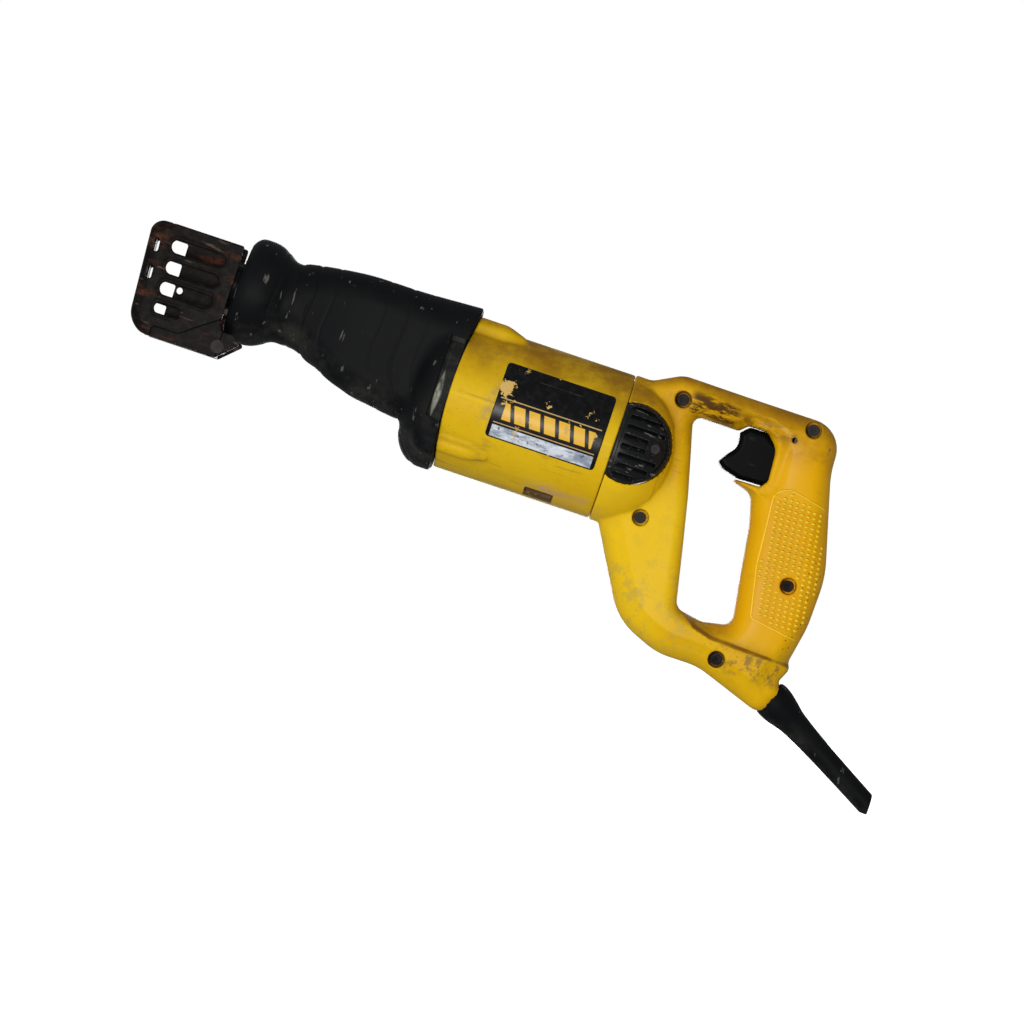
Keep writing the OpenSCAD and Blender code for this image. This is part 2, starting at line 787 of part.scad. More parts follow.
module carbon_brushes() {
    color([0.16, 0.16, 0.17]) for (s = [0, 1]) mirror([0, s, 0])
        block([brush_x - 3.9, 11.8, motor_z - 4.9], [brush_x + 3.9, 24, motor_z + 4.9]);
}

module brush_springs() {
    color(steel) for (s = [-1, 1]) translate([brush_x, s * 24.6, motor_z])
        rotate([-90 * s, 0, 0]) coil(2.6, 0.5, 5, 8.3);
}

// ---- Switch, trigger and cord outlet ----

module switch_body() {
    color(black_plastic) difference() {
        union() {
            block([355, -13.9, -16], [377, 13.9, 20]);
            block([334, -3.5, 3], [356, 3.5, 13]);
            bar_y(trigger_pivot, [-3.5, 3.5], 5);
        }
        bar_y(trigger_pivot, [-10, 10], 2.04);
    }
}

module trigger() {
    color(black_plastic) difference() {
        plate_y([-10.5, 10.5]) polygon(rounded(trigger_outline));
        // Room for the tongue of the switch and the coils of the spring
        plate_y([-3.9, 3.9]) union() {
            translate(trigger_pivot) circle(r = 6);
            translate([trigger_pivot[0], -1.5]) square([30, 18.6]);
        }
        bar_y(trigger_pivot, [-20, 20], 2.03);
        bar_y(trigger_pivot, [3.8, 8.4], 5.3);
    }
}

module trigger_pin() { color(steel) bar_y(trigger_pivot, [-10.4, 10.4], 2); }

module trigger_spring() {
    color(steel) translate([trigger_pivot[0], 4.6, trigger_pivot[1]])
        rotate([-90, 0, 0]) coil(3.4, 0.45, 3, 3.2);
}

module cord_protector() {
    end = protector_len;
    color(rubber) cord_frame() rotate_extrude() polygon(concat(
        [[cord_bore_r, -4], [8.8, -4], [8.8, 3.2], [11.2, 3.2], [11.2, 6.8], [8.8, 6.8],
            [8.8, 12.3]],
        [for (a = [0:15:90]) [9.4 + 2.1 * sin(a), 13 + 2.1 * (1 - cos(a))]],
        [[7.9, 40], [6.3, end - 1], [5.6, end], [cord_bore_r, end]]));
}

module cord_clamp() {
    color(black_plastic) cord_frame() difference() {
        translate([-12, -8.5, -16]) cube([24, 3.9, 8]);
        translate([0, 0, -17]) cylinder(r = cord_bore_r + 0.9, h = 10);
        for (x = [-8.5, 8.5]) translate([x, -10, -12]) rotate([-90, 0, 0])
            cylinder(r = 1.7, h = 10);
    }
}

module cord_clamp_screws() {
    color(steel) cord_frame() for (x = [-8.5, 8.5]) translate([x, -10.6, -12])
        side_screw(3, 2.1, 1.38, 9);
}

handle_left();
handle_right();
motor_housing();
vent_cover_left();
vent_cover_right();
vent_screws();
label_left();
label_right();
gear_case();
gear_case_cover();
gear_case_screws();
boot();
boot_bell();
shoe();
shoe_pivot_pin();
shoe_post();
shoe_post_screw();
blade_clamp();
clamp_collar();
clamp_screw();
spindle();
spindle_bush_front();
spindle_bush_rear();
spindle_seal();
wobble_arm();
wobble_shaft();
drive_gear();
wobble_bush_front();
wobble_bush_rear();
armature_shaft();
armature_core();
armature_windings();
commutator();
motor_fan();
front_bearing();
rear_bearing();
field_core();
field_coils();
brush_plate();
brush_holders();
carbon_brushes();
brush_springs();
switch_body();
trigger();
trigger_pin();
trigger_spring();
cord_protector();
cord_clamp();
cord_clamp_screws();
handle_screws();
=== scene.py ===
import json
import math

import bpy
import numpy as np
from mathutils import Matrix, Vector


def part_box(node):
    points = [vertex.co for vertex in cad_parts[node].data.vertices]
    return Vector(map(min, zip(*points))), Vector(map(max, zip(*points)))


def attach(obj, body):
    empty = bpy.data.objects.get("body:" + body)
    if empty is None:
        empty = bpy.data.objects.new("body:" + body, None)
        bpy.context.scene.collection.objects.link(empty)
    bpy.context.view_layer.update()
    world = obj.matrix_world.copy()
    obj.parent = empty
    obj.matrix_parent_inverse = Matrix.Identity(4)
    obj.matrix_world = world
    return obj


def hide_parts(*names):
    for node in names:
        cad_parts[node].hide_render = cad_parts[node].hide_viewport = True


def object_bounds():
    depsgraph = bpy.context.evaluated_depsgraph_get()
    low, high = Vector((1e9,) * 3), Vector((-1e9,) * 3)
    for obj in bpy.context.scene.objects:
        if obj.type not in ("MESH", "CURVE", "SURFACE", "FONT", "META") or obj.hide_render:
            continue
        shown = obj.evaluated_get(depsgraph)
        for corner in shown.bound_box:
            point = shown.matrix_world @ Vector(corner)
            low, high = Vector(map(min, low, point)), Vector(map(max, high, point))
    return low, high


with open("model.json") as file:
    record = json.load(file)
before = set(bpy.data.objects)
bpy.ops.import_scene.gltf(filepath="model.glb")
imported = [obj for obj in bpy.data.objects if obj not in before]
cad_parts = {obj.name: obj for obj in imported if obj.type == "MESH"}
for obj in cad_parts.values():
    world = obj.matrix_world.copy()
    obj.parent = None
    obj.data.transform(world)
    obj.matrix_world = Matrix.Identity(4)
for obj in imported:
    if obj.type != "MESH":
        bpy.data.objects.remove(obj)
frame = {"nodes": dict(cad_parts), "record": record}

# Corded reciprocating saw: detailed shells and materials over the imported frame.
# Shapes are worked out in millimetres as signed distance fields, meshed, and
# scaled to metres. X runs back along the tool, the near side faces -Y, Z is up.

import openvdb
from mathutils import Matrix, Vector

cad_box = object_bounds()

MM = 0.001
NEAR = 4                                 # grid steps of a field kept round its surface
PULLS = 3                                # rounds that pull points onto a surface
FLOOR_GAP = 0.0005                       # metres under the tool


# ---- Places taken from the frame, in millimetres ----

def node_box(name):
    """Lowest and highest corner of a CAD node, in millimetres."""
    low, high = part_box(name)
    return np.array(low) / MM, np.array(high) / MM


def joint_place(name):
    """Where a joint's axis passes, in millimetres."""
    for joint in frame["record"]["behaviour"]["joints"]:
        if joint["name"] == name:
            return np.array(joint["pos_m"]) / MM
    raise KeyError(name)


MOTOR = node_box("motor_housing")
FRONT_X = MOTOR[0][0]                    # front edge of the motor housing
SEAM_X = MOTOR[1][0]                     # seam between housing and handle
MOTOR_Z = joint_place("armature_spin")[2]
MOTOR_R = MOTOR[1][1]
CORD_START = np.array([378.0, 0.0, -125.5])
CORD_SLOPE = math.radians(29.5)
CORD_DIR = np.array([math.cos(CORD_SLOPE), 0.0, -math.sin(CORD_SLOPE)])
CORD_UP = np.array([math.sin(CORD_SLOPE), 0.0, math.cos(CORD_SLOPE)])


# ---- Distance field tools ----

def rounded(corners, steps=8):
    """Outline with each corner [x, z, radius] turned into an arc."""
    out = []
    count = len(corners)
    for i in range(count):
        a = np.array(corners[i - 1][:2], float)
        b = np.array(corners[i][:2], float)
        c = np.array(corners[(i + 1) % count][:2], float)
        r = corners[i][2]
        if r <= 0:
            out.append(b)
            continue
        u = (a - b) / np.linalg.norm(a - b)
        w = (c - b) / np.linalg.norm(c - b)
        half = math.acos(max(-1, min(1, u @ w))) / 2
        centre = b + (u + w) / np.linalg.norm(u + w) * r / math.sin(half)
        p = b + u * r / math.tan(half) - centre
        q = b + w * r / math.tan(half) - centre
        start = math.atan2(p[1], p[0])
        turn = math.atan2(p[0] * q[1] - p[1] * q[0], p @ q)
        for k in range(steps + 1):
            angle = start + turn * k / steps
            out.append(centre + r * np.array([math.cos(angle), math.sin(angle)]))
    return np.array(out)


def polygon_distance(x, z, points):
    """Signed distance to a closed outline, negative inside."""
    x, z = np.broadcast_arrays(x, z)
    best = np.full(x.shape, 1e9)
    inside = np.zeros(x.shape, bool)
    for i in range(len(points)):
        ax, az = points[i - 1]
        bx, bz = points[i]
        ex, ez = bx - ax, bz - az
        length = ex * ex + ez * ez
        if length < 1e-12:
            continue
        t = np.clip(((x - ax) * ex + (z - az) * ez) / length, 0, 1)
        best = np.minimum(best, (x - ax - t * ex) ** 2 + (z - az - t * ez) ** 2)
        crosses = (az > z) != (bz > z)
        with np.errstate(divide="ignore", invalid="ignore"):
            cut = ax + (z - az) * ex / ez
        inside ^= crosses & (x < cut)
    return np.sqrt(best) * np.where(inside, -1, 1)


class Outline:
    """Signed distance of an outline, held on a fine grid for fast lookup."""

    def __init__(self, corners, step=0.4, pad=14, steps=8):
        points = rounded(corners, steps)
        self.low = points.min(0) - pad
        self.step = step
        size = np.ceil((points.max(0) + pad - self.low) / step).astype(int) + 1
        gx = self.low[0] + step * np.arange(size[0])
        gz = self.low[1] + step * np.arange(size[1])
        self.grid = polygon_distance(gx[:, None], gz[None, :], points)
        self.size = size

    def __call__(self, x, z):
        x, z = np.broadcast_arrays(x, z)
        u = (x - self.low[0]) / self.step
        v = (z - self.low[1]) / self.step
        uc = np.clip(u, 0, self.size[0] - 1.001)
        vc = np.clip(v, 0, self.size[1] - 1.001)
        i = uc.astype(int)
        j = vc.astype(int)
        a = uc - i
        b = vc - j
        g = self.grid
        near = (g[i, j] * (1 - a) * (1 - b) + g[i + 1, j] * a * (1 - b)
                + g[i, j + 1] * (1 - a) * b + g[i + 1, j + 1] * a * b)
        return near + self.step * np.hypot(u - uc, v - vc)


def blend_min(a, b, k):
    """Union with a fillet of about k."""
    h = np.maximum(k - np.abs(a - b), 0) / k
    return np.minimum(a, b) - h * h * k / 4


def blend_max(a, b, k):
    """Intersection with a rounded edge of about k."""
    return -blend_min(-a, -b, k)


def smooth_step(x, low, high):
    t = np.clip((x - low) / (high - low), 0, 1)
    return t * t * (3 - 2 * t)


def corner(a, b, r):
    """Inside of two faces that meet in an edge of radius r."""
    a = a + r
    b = b + r
    return np.minimum(np.maximum(a, b), 0) + np.hypot(np.maximum(a, 0), np.maximum(b, 0)) - r


def extrude(flat, y, half, r):
    """Solid of half width half from a flat field, with edges of radius r."""
    return corner(flat, np.abs(y) - half, r)


def round_box(x, z, centre, half, r):
    """Flat rounded rectangle."""
    return corner(np.abs(x - centre[0]) - half[0], np.abs(z - centre[1]) - half[1], r)


def round_slot(x, z, left, right, height, r):
    """Flat slot along the first axis, with round ends at left and right."""
    return np.hypot(np.maximum(np.maximum(left - x, x - right), 0), z - height) - r


def ellipse(u, v, a, b):
    """Distance to an ellipse with half axes a and b, true close to it."""
    k = np.sqrt((u / a) ** 2 + (v / b) ** 2)
    g = np.sqrt((u / a ** 2) ** 2 + (v / b ** 2) ** 2)
    return k * (k - 1) / np.maximum(g, 1e-6)


def curve_through(x, knots):
    """Smooth curve through [place, value] knots, flat beyond the ends."""
    k = np.array(knots, float)
    px, py = k[:, 0], k[:, 1]
    slope = np.gradient(py, px)
    xc = np.clip(x, px[0], px[-1])
    i = np.clip(np.searchsorted(px, xc, side="right") - 1, 0, len(px) - 2)
    h = px[i + 1] - px[i]
    t = (xc - px[i]) / h
    return ((2 * t ** 3 - 3 * t ** 2 + 1) * py[i] + (t ** 3 - 2 * t ** 2 + t) * h * slope[i]
            + (-2 * t ** 3 + 3 * t ** 2) * py[i + 1] + (t ** 3 - t ** 2) * h * slope[i + 1])


def gradient(field, p, e=0.12):
    out = np.empty_like(p)
    for axis, shift in enumerate(e * np.eye(3)):
        out[:, axis] = (field(*(p + shift).T) - field(*(p - shift).T)) / (2 * e)
    return out


def new_object(name, data):
    piece = bpy.data.objects.new(name, data)
    bpy.context.scene.collection.objects.link(piece)
    return piece


def mesh_object(name, points, faces, material, normals=None):
    """Object from points in millimetres; faces are index lists."""
    mesh = bpy.data.meshes.new(name)
    mesh.from_pydata((np.asarray(points) * MM).tolist(), [], faces)
    mesh.validate()
    mesh.polygons.foreach_set("use_smooth", [True] * len(mesh.polygons))
    if normals is not None and len(normals) == len(mesh.vertices):
        mesh.normals_split_custom_set_from_vertices(normals.tolist())
    mesh.materials.append(material)
    return new_object(name, mesh)


def field_mesh(name, field, low, high, step, material):
    """Mesh of the zero surface of a field inside a box, refined onto it."""
    low = np.array(low, float) - 2 * step
    high = np.array(high, float) + 2 * step
    axes = [np.arange(low[i], high[i] + step, step) for i in range(3)]
    values = field(axes[0][:, None, None], axes[1][None, :, None], axes[2][None, None, :])
    values = np.ascontiguousarray(np.broadcast_to(
        values, [len(a) for a in axes]).astype(np.float32))
    values = np.clip(values, -NEAR * step, NEAR * step)
    grid = openvdb.FloatGrid(background=NEAR * step)
    grid.copyFromArray(values)
    points, quads = grid.convertToQuads(isovalue=0)
    points = np.asarray(points, float) * step + low
    for _ in range(PULLS):
        slope = gradient(field, points)
        value = field(*points.T)
        size = np.maximum((slope ** 2).sum(1), 0.25)
        limit = 0.35 * step / np.sqrt(size)
        points += slope * np.clip(-value / size, -limit, limit)[:, None]
    quads = np.asarray(quads, int)
    ends = points[quads]
    facing = np.cross(ends[:, 2] - ends[:, 0], ends[:, 3] - ends[:, 1])
    normals = gradient(field, points)
    normals /= np.maximum(np.linalg.norm(normals, axis=1), 1e-9)[:, None]
    if (facing * normals[quads[:, 0]]).sum() < 0:
        quads = quads[:, ::-1]
    return mesh_object(name, points, quads.tolist(), material, normals)


# ---- Materials ----

class Nodes:
    """Short way to build a node material with object coordinates in metres."""

    def __init__(self, name, colour):
        self.colour = colour
        self.material = bpy.data.materials.new(name)
        self.material.use_nodes = True
        self.tree = self.material.node_tree
        self.shader = self.tree.nodes["Principled BSDF"]
        self.place = self.add("ShaderNodeTexCoord").outputs["Object"]

    def add(self, kind, **values):
        node = self.tree.nodes.new(kind)
        for key, value in values.items():
            setattr(node, key, value)
        return node

    def link(self, source, socket):
        self.tree.links.new(source, socket)

    def put(self, socket, value):
        """Link an output, or set a number or a colour straight on the socket."""
        if isinstance(value, bpy.types.NodeSocket):
            self.link(value, socket)
        else:
            socket.default_value = (*value, 1) if isinstance(value, tuple) else value

    def maths(self, operation, a, b=0.0, c=None, clamp=False):
        node = self.add("ShaderNodeMath", operation=operation, use_clamp=clamp)
        self.put(node.inputs[0], a)
        self.put(node.inputs[1], b)
        if c is not None:
            self.put(node.inputs[2], c)
        return node.outputs[0]

    def times(self, product, *factors):
        for factor in factors:
            product = self.maths("MULTIPLY", product, factor)
        return product

    def scaled(self, value, by, plus):
        return self.maths("MULTIPLY_ADD", value, by, plus)

    def texture(self, kind, scale, stretch, shift):
        """Texture node over stretched and shifted object coordinates."""
        mapping = self.add("ShaderNodeMapping")
        self.link(self.place, mapping.inputs["Vector"])
        mapping.inputs["Scale"].default_value = stretch
        mapping.inputs["Location"].default_value = (shift, shift * 0.7, shift * 1.3)
        node = self.add(kind)
        self.link(mapping.outputs[0], node.inputs["Vector"])
        node.inputs["Scale"].default_value = scale
        return node

    def noise(self, scale, detail=4.0, rough=0.55, stretch=(1, 1, 1), shift=0.0):
        node = self.texture("ShaderNodeTexNoise", scale, stretch, shift)
        node.inputs["Detail"].default_value = detail
        node.inputs["Roughness"].default_value = rough
        return node.outputs[0]

    def cells(self, scale, shift):
        """Distance to the middle of the nearest scattered cell."""
        return self.texture("ShaderNodeTexVoronoi", scale, (1, 1, 1), shift).outputs["Distance"]

    def steps(self, value, low, high):
        """0 below low, 1 above high, eased between."""
        node = self.add("ShaderNodeMapRange", clamp=True, interpolation_type="SMOOTHSTEP")
        self.put(node.inputs["Value"], value)
        node.inputs["From Min"].default_value = low
        node.inputs["From Max"].default_value = high
        return node.outputs["Result"]

    def mix(self, amount, a, b):
        node = self.add("ShaderNodeMix", data_type="RGBA")
        self.put(node.inputs["Factor"], amount)
        colours = [s for s in node.inputs if s.type == "RGBA"]
        self.put(colours[0], a)
        self.put(colours[1], b)
        return [s for s in node.outputs if s.type == "RGBA"][0]

    def tint(self, tone, *factors):
        """Move the colour towards a tone by the product of the factors."""
        self.colour = self.mix(self.times(*factors), self.colour, tone)

    def axis(self, letter):
        node = self.add("ShaderNodeSeparateXYZ")
        self.link(self.place, node.inputs[0])
        return node.outputs["XYZ".index(letter)]

    def band(self, value, low, high, soft):
        """1 between low and high, with soft edges, all in metres."""
        rise = self.steps(value, low - soft, low + soft)
        fall = self.steps(value, high - soft, high + soft)
        return self.maths("SUBTRACT", rise, fall, clamp=True)

    def spot(self, low, high, soft):
        """1 inside a box in the side view, with soft edges, all in metres."""
        return self.times(self.band(self.axis("X"), low[0], high[0], soft),
                          self.band(self.axis("Z"), low[1], high[1], soft))

    def facing_up(self):
        """Upward part of the surface direction, in object axes."""
        node = self.add("ShaderNodeSeparateXYZ")
        self.link(self.add("ShaderNodeTexCoord").outputs["Normal"], node.inputs[0])
        return node.outputs["Z"]

    def edges(self, low, high):
        """1 on outer edges, from how convex the surface is."""
        geometry = self.add("ShaderNodeNewGeometry")
        return self.steps(geometry.outputs["Pointiness"], low, high)

    def hollow(self, distance):
        """How hidden a point is: 0 in the open, 1 deep in a corner."""
        node = self.add("ShaderNodeAmbientOcclusion", samples=6, only_local=True)
        node.inputs["Distance"].default_value = distance
        return self.maths("SUBTRACT", 1.0, node.outputs["AO"], clamp=True)

    def bump(self, height, distance, strength, onto=None):
        node = self.add("ShaderNodeBump")
        self.put(node.inputs["Height"], height)
        node.inputs["Distance"].default_value = distance
        node.inputs["Strength"].default_value = strength
        if onto is not None:
            self.link(onto, node.inputs["Normal"])
        return node.outputs["Normal"]

    def finish(self, rough, normal=None, metal=0.0, shine=0.5):
        self.put(self.shader.inputs["Base Color"], self.colour)
        self.put(self.shader.inputs["Roughness"], rough)
        self.put(self.shader.inputs["Metallic"], metal)
        self.shader.inputs["Specular IOR Level"].default_value = shine
        if normal is not None:
            self.link(normal, self.shader.inputs["Normal"])
        return self.material


def shade(colour, by):
    return tuple(min(1.0, part * by) for part in colour)


def yellow_material(name, base, pale, marks=None, shine=0.10):
    """Worn satin yellow moulding: grime on top, scratches, specks and its own marks."""
    n = Nodes(name, base)
    blotch = n.steps(n.noise(17, 4, 0.6, shift=1.1), 0.40, 0.62)
    n.tint(pale, blotch, 0.8)
    n.tint(shade(base, 0.70), n.steps(n.noise(240, 6, 0.7), 0.50, 0.72), 0.22)
    # Brown film on faces that look up, in smears elsewhere; this darkening of the upper faces
    # is partly dirt and partly painted shade
    film = n.times(n.steps(n.facing_up(), 0.05, 0.85),
                   n.scaled(n.steps(n.noise(34, 6, 0.7), 0.34, 0.62), 0.55, 0.4))
    n.tint((0.23, 0.095, 0.005), film, 0.92)
    smear = n.steps(n.noise(46, 7, 0.72, stretch=(0.7, 1, 1.2), shift=6.0), 0.57, 0.72)
    n.tint((0.30, 0.17, 0.025), smear, 0.42)
    # Darker in corners, from how hidden each point is: painted shade, patched by noise; and
    # scattered specks
    hidden = n.maths("MULTIPLY", n.hollow(0.007), 1.7, clamp=True)
    n.tint((0.045, 0.020, 0.004), hidden, n.steps(n.noise(120, 5), 0.25, 0.5))
    specks = n.steps(n.cells(470, 0.3), 0.17, 0.08)
    rare = n.steps(n.noise(48, 4, shift=0.5), 0.50, 0.60)
    n.tint((0.055, 0.028, 0.010), specks, rare, 0.75)
    scratch = n.steps(n.noise(170, 2, 0.5, stretch=(0.12, 1, 1.6), shift=2.0), 0.66, 0.70)
    n.tint((0.22, 0.12, 0.03), scratch, 0.30)
    n.tint(shade(pale, 1.2), n.edges(0.525, 0.60), 0.35)
    if marks:
        marks(n)
    rough = n.scaled(film, 0.25, n.scaled(blotch, 0.16, 0.36))
    grain = n.bump(n.noise(2600, 2, 0.5), 0.00004, 0.5)
    normal = n.bump(scratch, -0.00006, 0.5, onto=grain)
    return n.finish(rough, normal, shine=shine)


def motor_marks(n):
    """Rubbed strip and slot low on each side, the slot painted dark as shade, and a grey smudge
    by the label.
    """
    rub = n.spot((0.209, -0.0600), (0.249, -0.0545), 0.0022)
    torn = n.steps(n.noise(130, 6, 0.75, stretch=(0.3, 1, 1)), 0.40, 0.62)
    n.tint((0.55, 0.33, 0.17), rub, torn, 0.85)
    # The recessed slot is painted near black: painted shade
    slot = n.spot((0.2105, -0.0640), (0.2285, -0.0592), 0.0004)
    torn = n.steps(n.noise(240, 4, 0.6, shift=1.0), 0.22, 0.46)
    n.tint((0.050, 0.020, 0.008), slot, torn, 0.93)
    smudge = n.spot((0.1725, -0.034), (0.1795, -0.006), 0.003)
    torn = n.steps(n.noise(90, 5, 0.7, shift=3.0), 0.40, 0.60)
    n.tint((0.30, 0.21, 0.12), smudge, torn, 0.6)


def handle_marks(n):
    """Web painted paler as painted light, orange cleaner grip, painted shade over the top, and
    greasy streaks beside the top screw.
    """
    x = n.axis("X")
    z = n.axis("Z")
    # The flat web that faces the front lamp is painted paler: painted light
    web = n.times(n.steps(x, 0.335, 0.300), n.steps(z, -0.020, -0.045))
    n.tint((0.85, 0.555, 0.010), web, 0.70)
    grip = n.times(n.steps(x, 0.338, 0.352), n.band(z, -0.103, 0.018, 0.008))
    n.tint((0.80, 0.395, 0.001), grip, 0.70)
    slant = n.scaled(z, PANEL_SLANT, x)
    panel = n.times(n.steps(slant, 0.3478, 0.3500), n.band(z, -0.0922, -0.0185, 0.0012))
    n.tint((0.72, 0.345, 0.0005), panel, 0.75)
    # Darker orange beside the vent and over the top: painted shade on the upper parts, patched
    # by noise
    upper_shade = n.maths("ADD", n.spot((0.268, -0.006), (0.294, 0.032), 0.010),
                      n.spot((0.300, 0.006), (0.394, 0.036), 0.007), clamp=True)
    cloud = n.steps(n.noise(60, 6, 0.7, shift=5.1), 0.36, 0.62)
    n.tint((0.42, 0.185, 0.003), upper_shade, n.scaled(cloud, 0.45, 0.15))
    mottle = n.steps(n.noise(95, 7, 0.74, shift=9.1), 0.47, 0.62)
    n.tint((0.50, 0.33, 0.040), mottle, web, 0.16)
    low = n.times(n.steps(z, -0.062, -0.100), n.steps(x, 0.352, 0.325))
    n.tint((0.50, 0.36, 0.060), mottle, low, 0.55)
    # Greasy streaks that run back from the top screw
    streaks = n.steps(n.noise(190, 5, 0.7, stretch=(0.22, 1, 1.3), shift=4.4), 0.42, 0.54)
    greasy = n.maths("MULTIPLY_ADD", n.spot((0.318, 0.016), (0.356, 0.024), 0.004), 0.55,
                     n.spot((0.289, 0.0135), (0.318, 0.0275), 0.003), clamp=True)
    n.tint((0.055, 0.020, 0.004), streaks, greasy, 0.94)
    foot = n.spot((0.352, -0.126), (0.394, -0.111), 0.004)
    torn = n.steps(n.noise(140, 6, 0.75, shift=8.0), 0.46, 0.60)
    n.tint((0.16, 0.10, 0.035), foot, torn, 0.7)
    back = n.spot((0.384, -0.104), (0.400, -0.045), 0.003)
    dots = n.steps(n.cells(330, 2.3), 0.22, 0.12)
    n.tint((0.10, 0.050, 0.010), back, dots, 0.8)


def rubber_material(name):
    """Matt moulded rubber with pale nicks, and dust with a painted sheen on the lower side."""
    n = Nodes(name, (0.0038, 0.0041, 0.0048))
    cloud = n.steps(n.noise(45, 6, 0.65), 0.42, 0.70)
    # Paler on faces that look down: dust, and a painted sheen of light from below
    under = n.steps(n.facing_up(), 0.10, -0.85)
    n.tint((0.034, 0.034, 0.028), cloud, n.scaled(under, 0.75, 0.06))
    nick = n.steps(n.noise(240, 3, 0.6, stretch=(1, 1, 0.16), shift=3.0), 0.655, 0.70)
    n.tint((0.16, 0.155, 0.13), nick, 0.5)
    n.tint((0.08, 0.08, 0.075), n.edges(0.54, 0.66), 0.22)
    normal = n.bump(n.noise(700, 4, 0.6), 0.00006, 0.5)
    return n.finish(n.scaled(cloud, 0.10, 0.54), normal, shine=0.07)


def black_plastic_material(name, base=(0.0050, 0.0052, 0.0057), rough=0.38, scratches=0.7,
                           shine=0.2):
    """Black moulding with pale scratches along it."""
    n = Nodes(name, base)
    long_marks = n.steps(n.noise(330, 3, 0.6, stretch=(0.18, 1, 1), shift=4.0), 0.63, 0.69)
    flecks = n.steps(n.cells(640, 1.7), 0.17, 0.09)
    rare = n.steps(n.noise(80, 3), 0.50, 0.62)
    marks = n.maths("MAXIMUM", n.times(long_marks, 0.7), n.times(flecks, rare))
    n.tint((0.30, 0.30, 0.29), marks, scratches)
    n.tint((0.085, 0.085, 0.085), n.edges(0.525, 0.60), scratches)
    dust = n.steps(n.noise(30, 5, shift=0.9), 0.45, 0.75)
    normal = n.bump(n.noise(1400, 3, 0.5), 0.00005, 0.35)
    return n.finish(n.scaled(dust, 0.2, rough), normal, shine=shine)


def rusty_steel_material(name):
    """Blackened stamped steel, rubbed through to rust in level streaks."""
    steel = (0.0062, 0.0054, 0.0050)
    rust = (0.105, 0.040, 0.024)
    n = Nodes(name, steel)
    bloom = n.steps(n.noise(75, 7, 0.68, stretch=(0.45, 1, 1.4)), 0.54, 0.70)
    fine = n.noise(420, 6, 0.7, shift=1.0)
    tone = n.mix(n.steps(fine, 0.35, 0.7), rust, shade(rust, 0.3))
    n.tint(shade(steel, 1.9), n.steps(n.noise(260, 5, shift=2.2), 0.4, 0.7))
    n.tint(tone, bloom, 0.85)
    rubbed = n.steps(n.noise(210, 4, 0.6, stretch=(0.2, 1, 1.3), shift=5.2), 0.60, 0.70)
    n.tint((0.17, 0.11, 0.08), rubbed, 0.5)
    n.tint((0.16, 0.12, 0.09), n.edges(0.53, 0.61), 0.30)
    return n.finish(n.scaled(bloom, 0.32, 0.38), n.bump(fine, 0.00014, 0.6),
                    metal=n.scaled(bloom, -0.06, 0.08), shine=0.02)


def grimy_alloy_material(name):
    """Cast gear case under black grime, with a bright lens on each side: bare metal and a
    painted highlight.
    """
    n = Nodes(name, (0.010, 0.0105, 0.0105))
    n.tint((0.028, 0.029, 0.025), n.steps(n.noise(130, 6, 0.7), 0.4, 0.7))
    # Bright lens down each side of the flange: partly bare metal, partly a painted highlight
    along = n.maths("DIVIDE", n.maths("ADD", n.axis("Z"), 0.0235), 0.0150)
    thick = n.maths("SUBTRACT", 1.0, n.times(along, along), clamp=True)
    across = n.maths("DIVIDE", n.maths("SUBTRACT", n.axis("X"), 0.1441), 0.0021)
    lens = n.steps(n.maths("SUBTRACT", thick, n.maths("ABSOLUTE", across)), -0.15, 0.45)
    lens = n.times(lens, n.steps(n.noise(260, 6, 0.7, stretch=(1, 1, 0.4)), 0.30, 0.56))
    n.tint((0.26, 0.265, 0.21), lens, 0.8)
    normal = n.bump(n.noise(900, 4, 0.6), 0.00008, 0.6)
    return n.finish(n.scaled(lens, -0.1, 0.55), normal, metal=n.times(lens, 0.5),
                    shine=0.08)


def metal_material(name, base, rough=0.3, stain=(0.10, 0.075, 0.05), stain_amount=0.4,
                   stretch=(1, 1, 1), grain=700, bare=1.0):
    """Machined or cast metal with fine marks and old grease."""
    n = Nodes(name, base)
    marks = n.noise(grain, 4, 0.6, stretch=stretch)
    film = n.steps(n.noise(60, 6, 0.65, shift=0.4), 0.46, 0.72)
    n.tint(shade(base, 0.6), n.steps(marks, 0.4, 0.7), 0.25)
    n.tint(stain, film, stain_amount)
    metal = n.scaled(film, -0.5 * stain_amount * bare, bare)
    return n.finish(n.scaled(film, 0.3, rough), n.bump(marks, 0.00005, 0.5),
                    metal=metal, shine=0.5 * bare)


BLOCK_PITCH = 0.0093                     # metres between the label's tan blocks


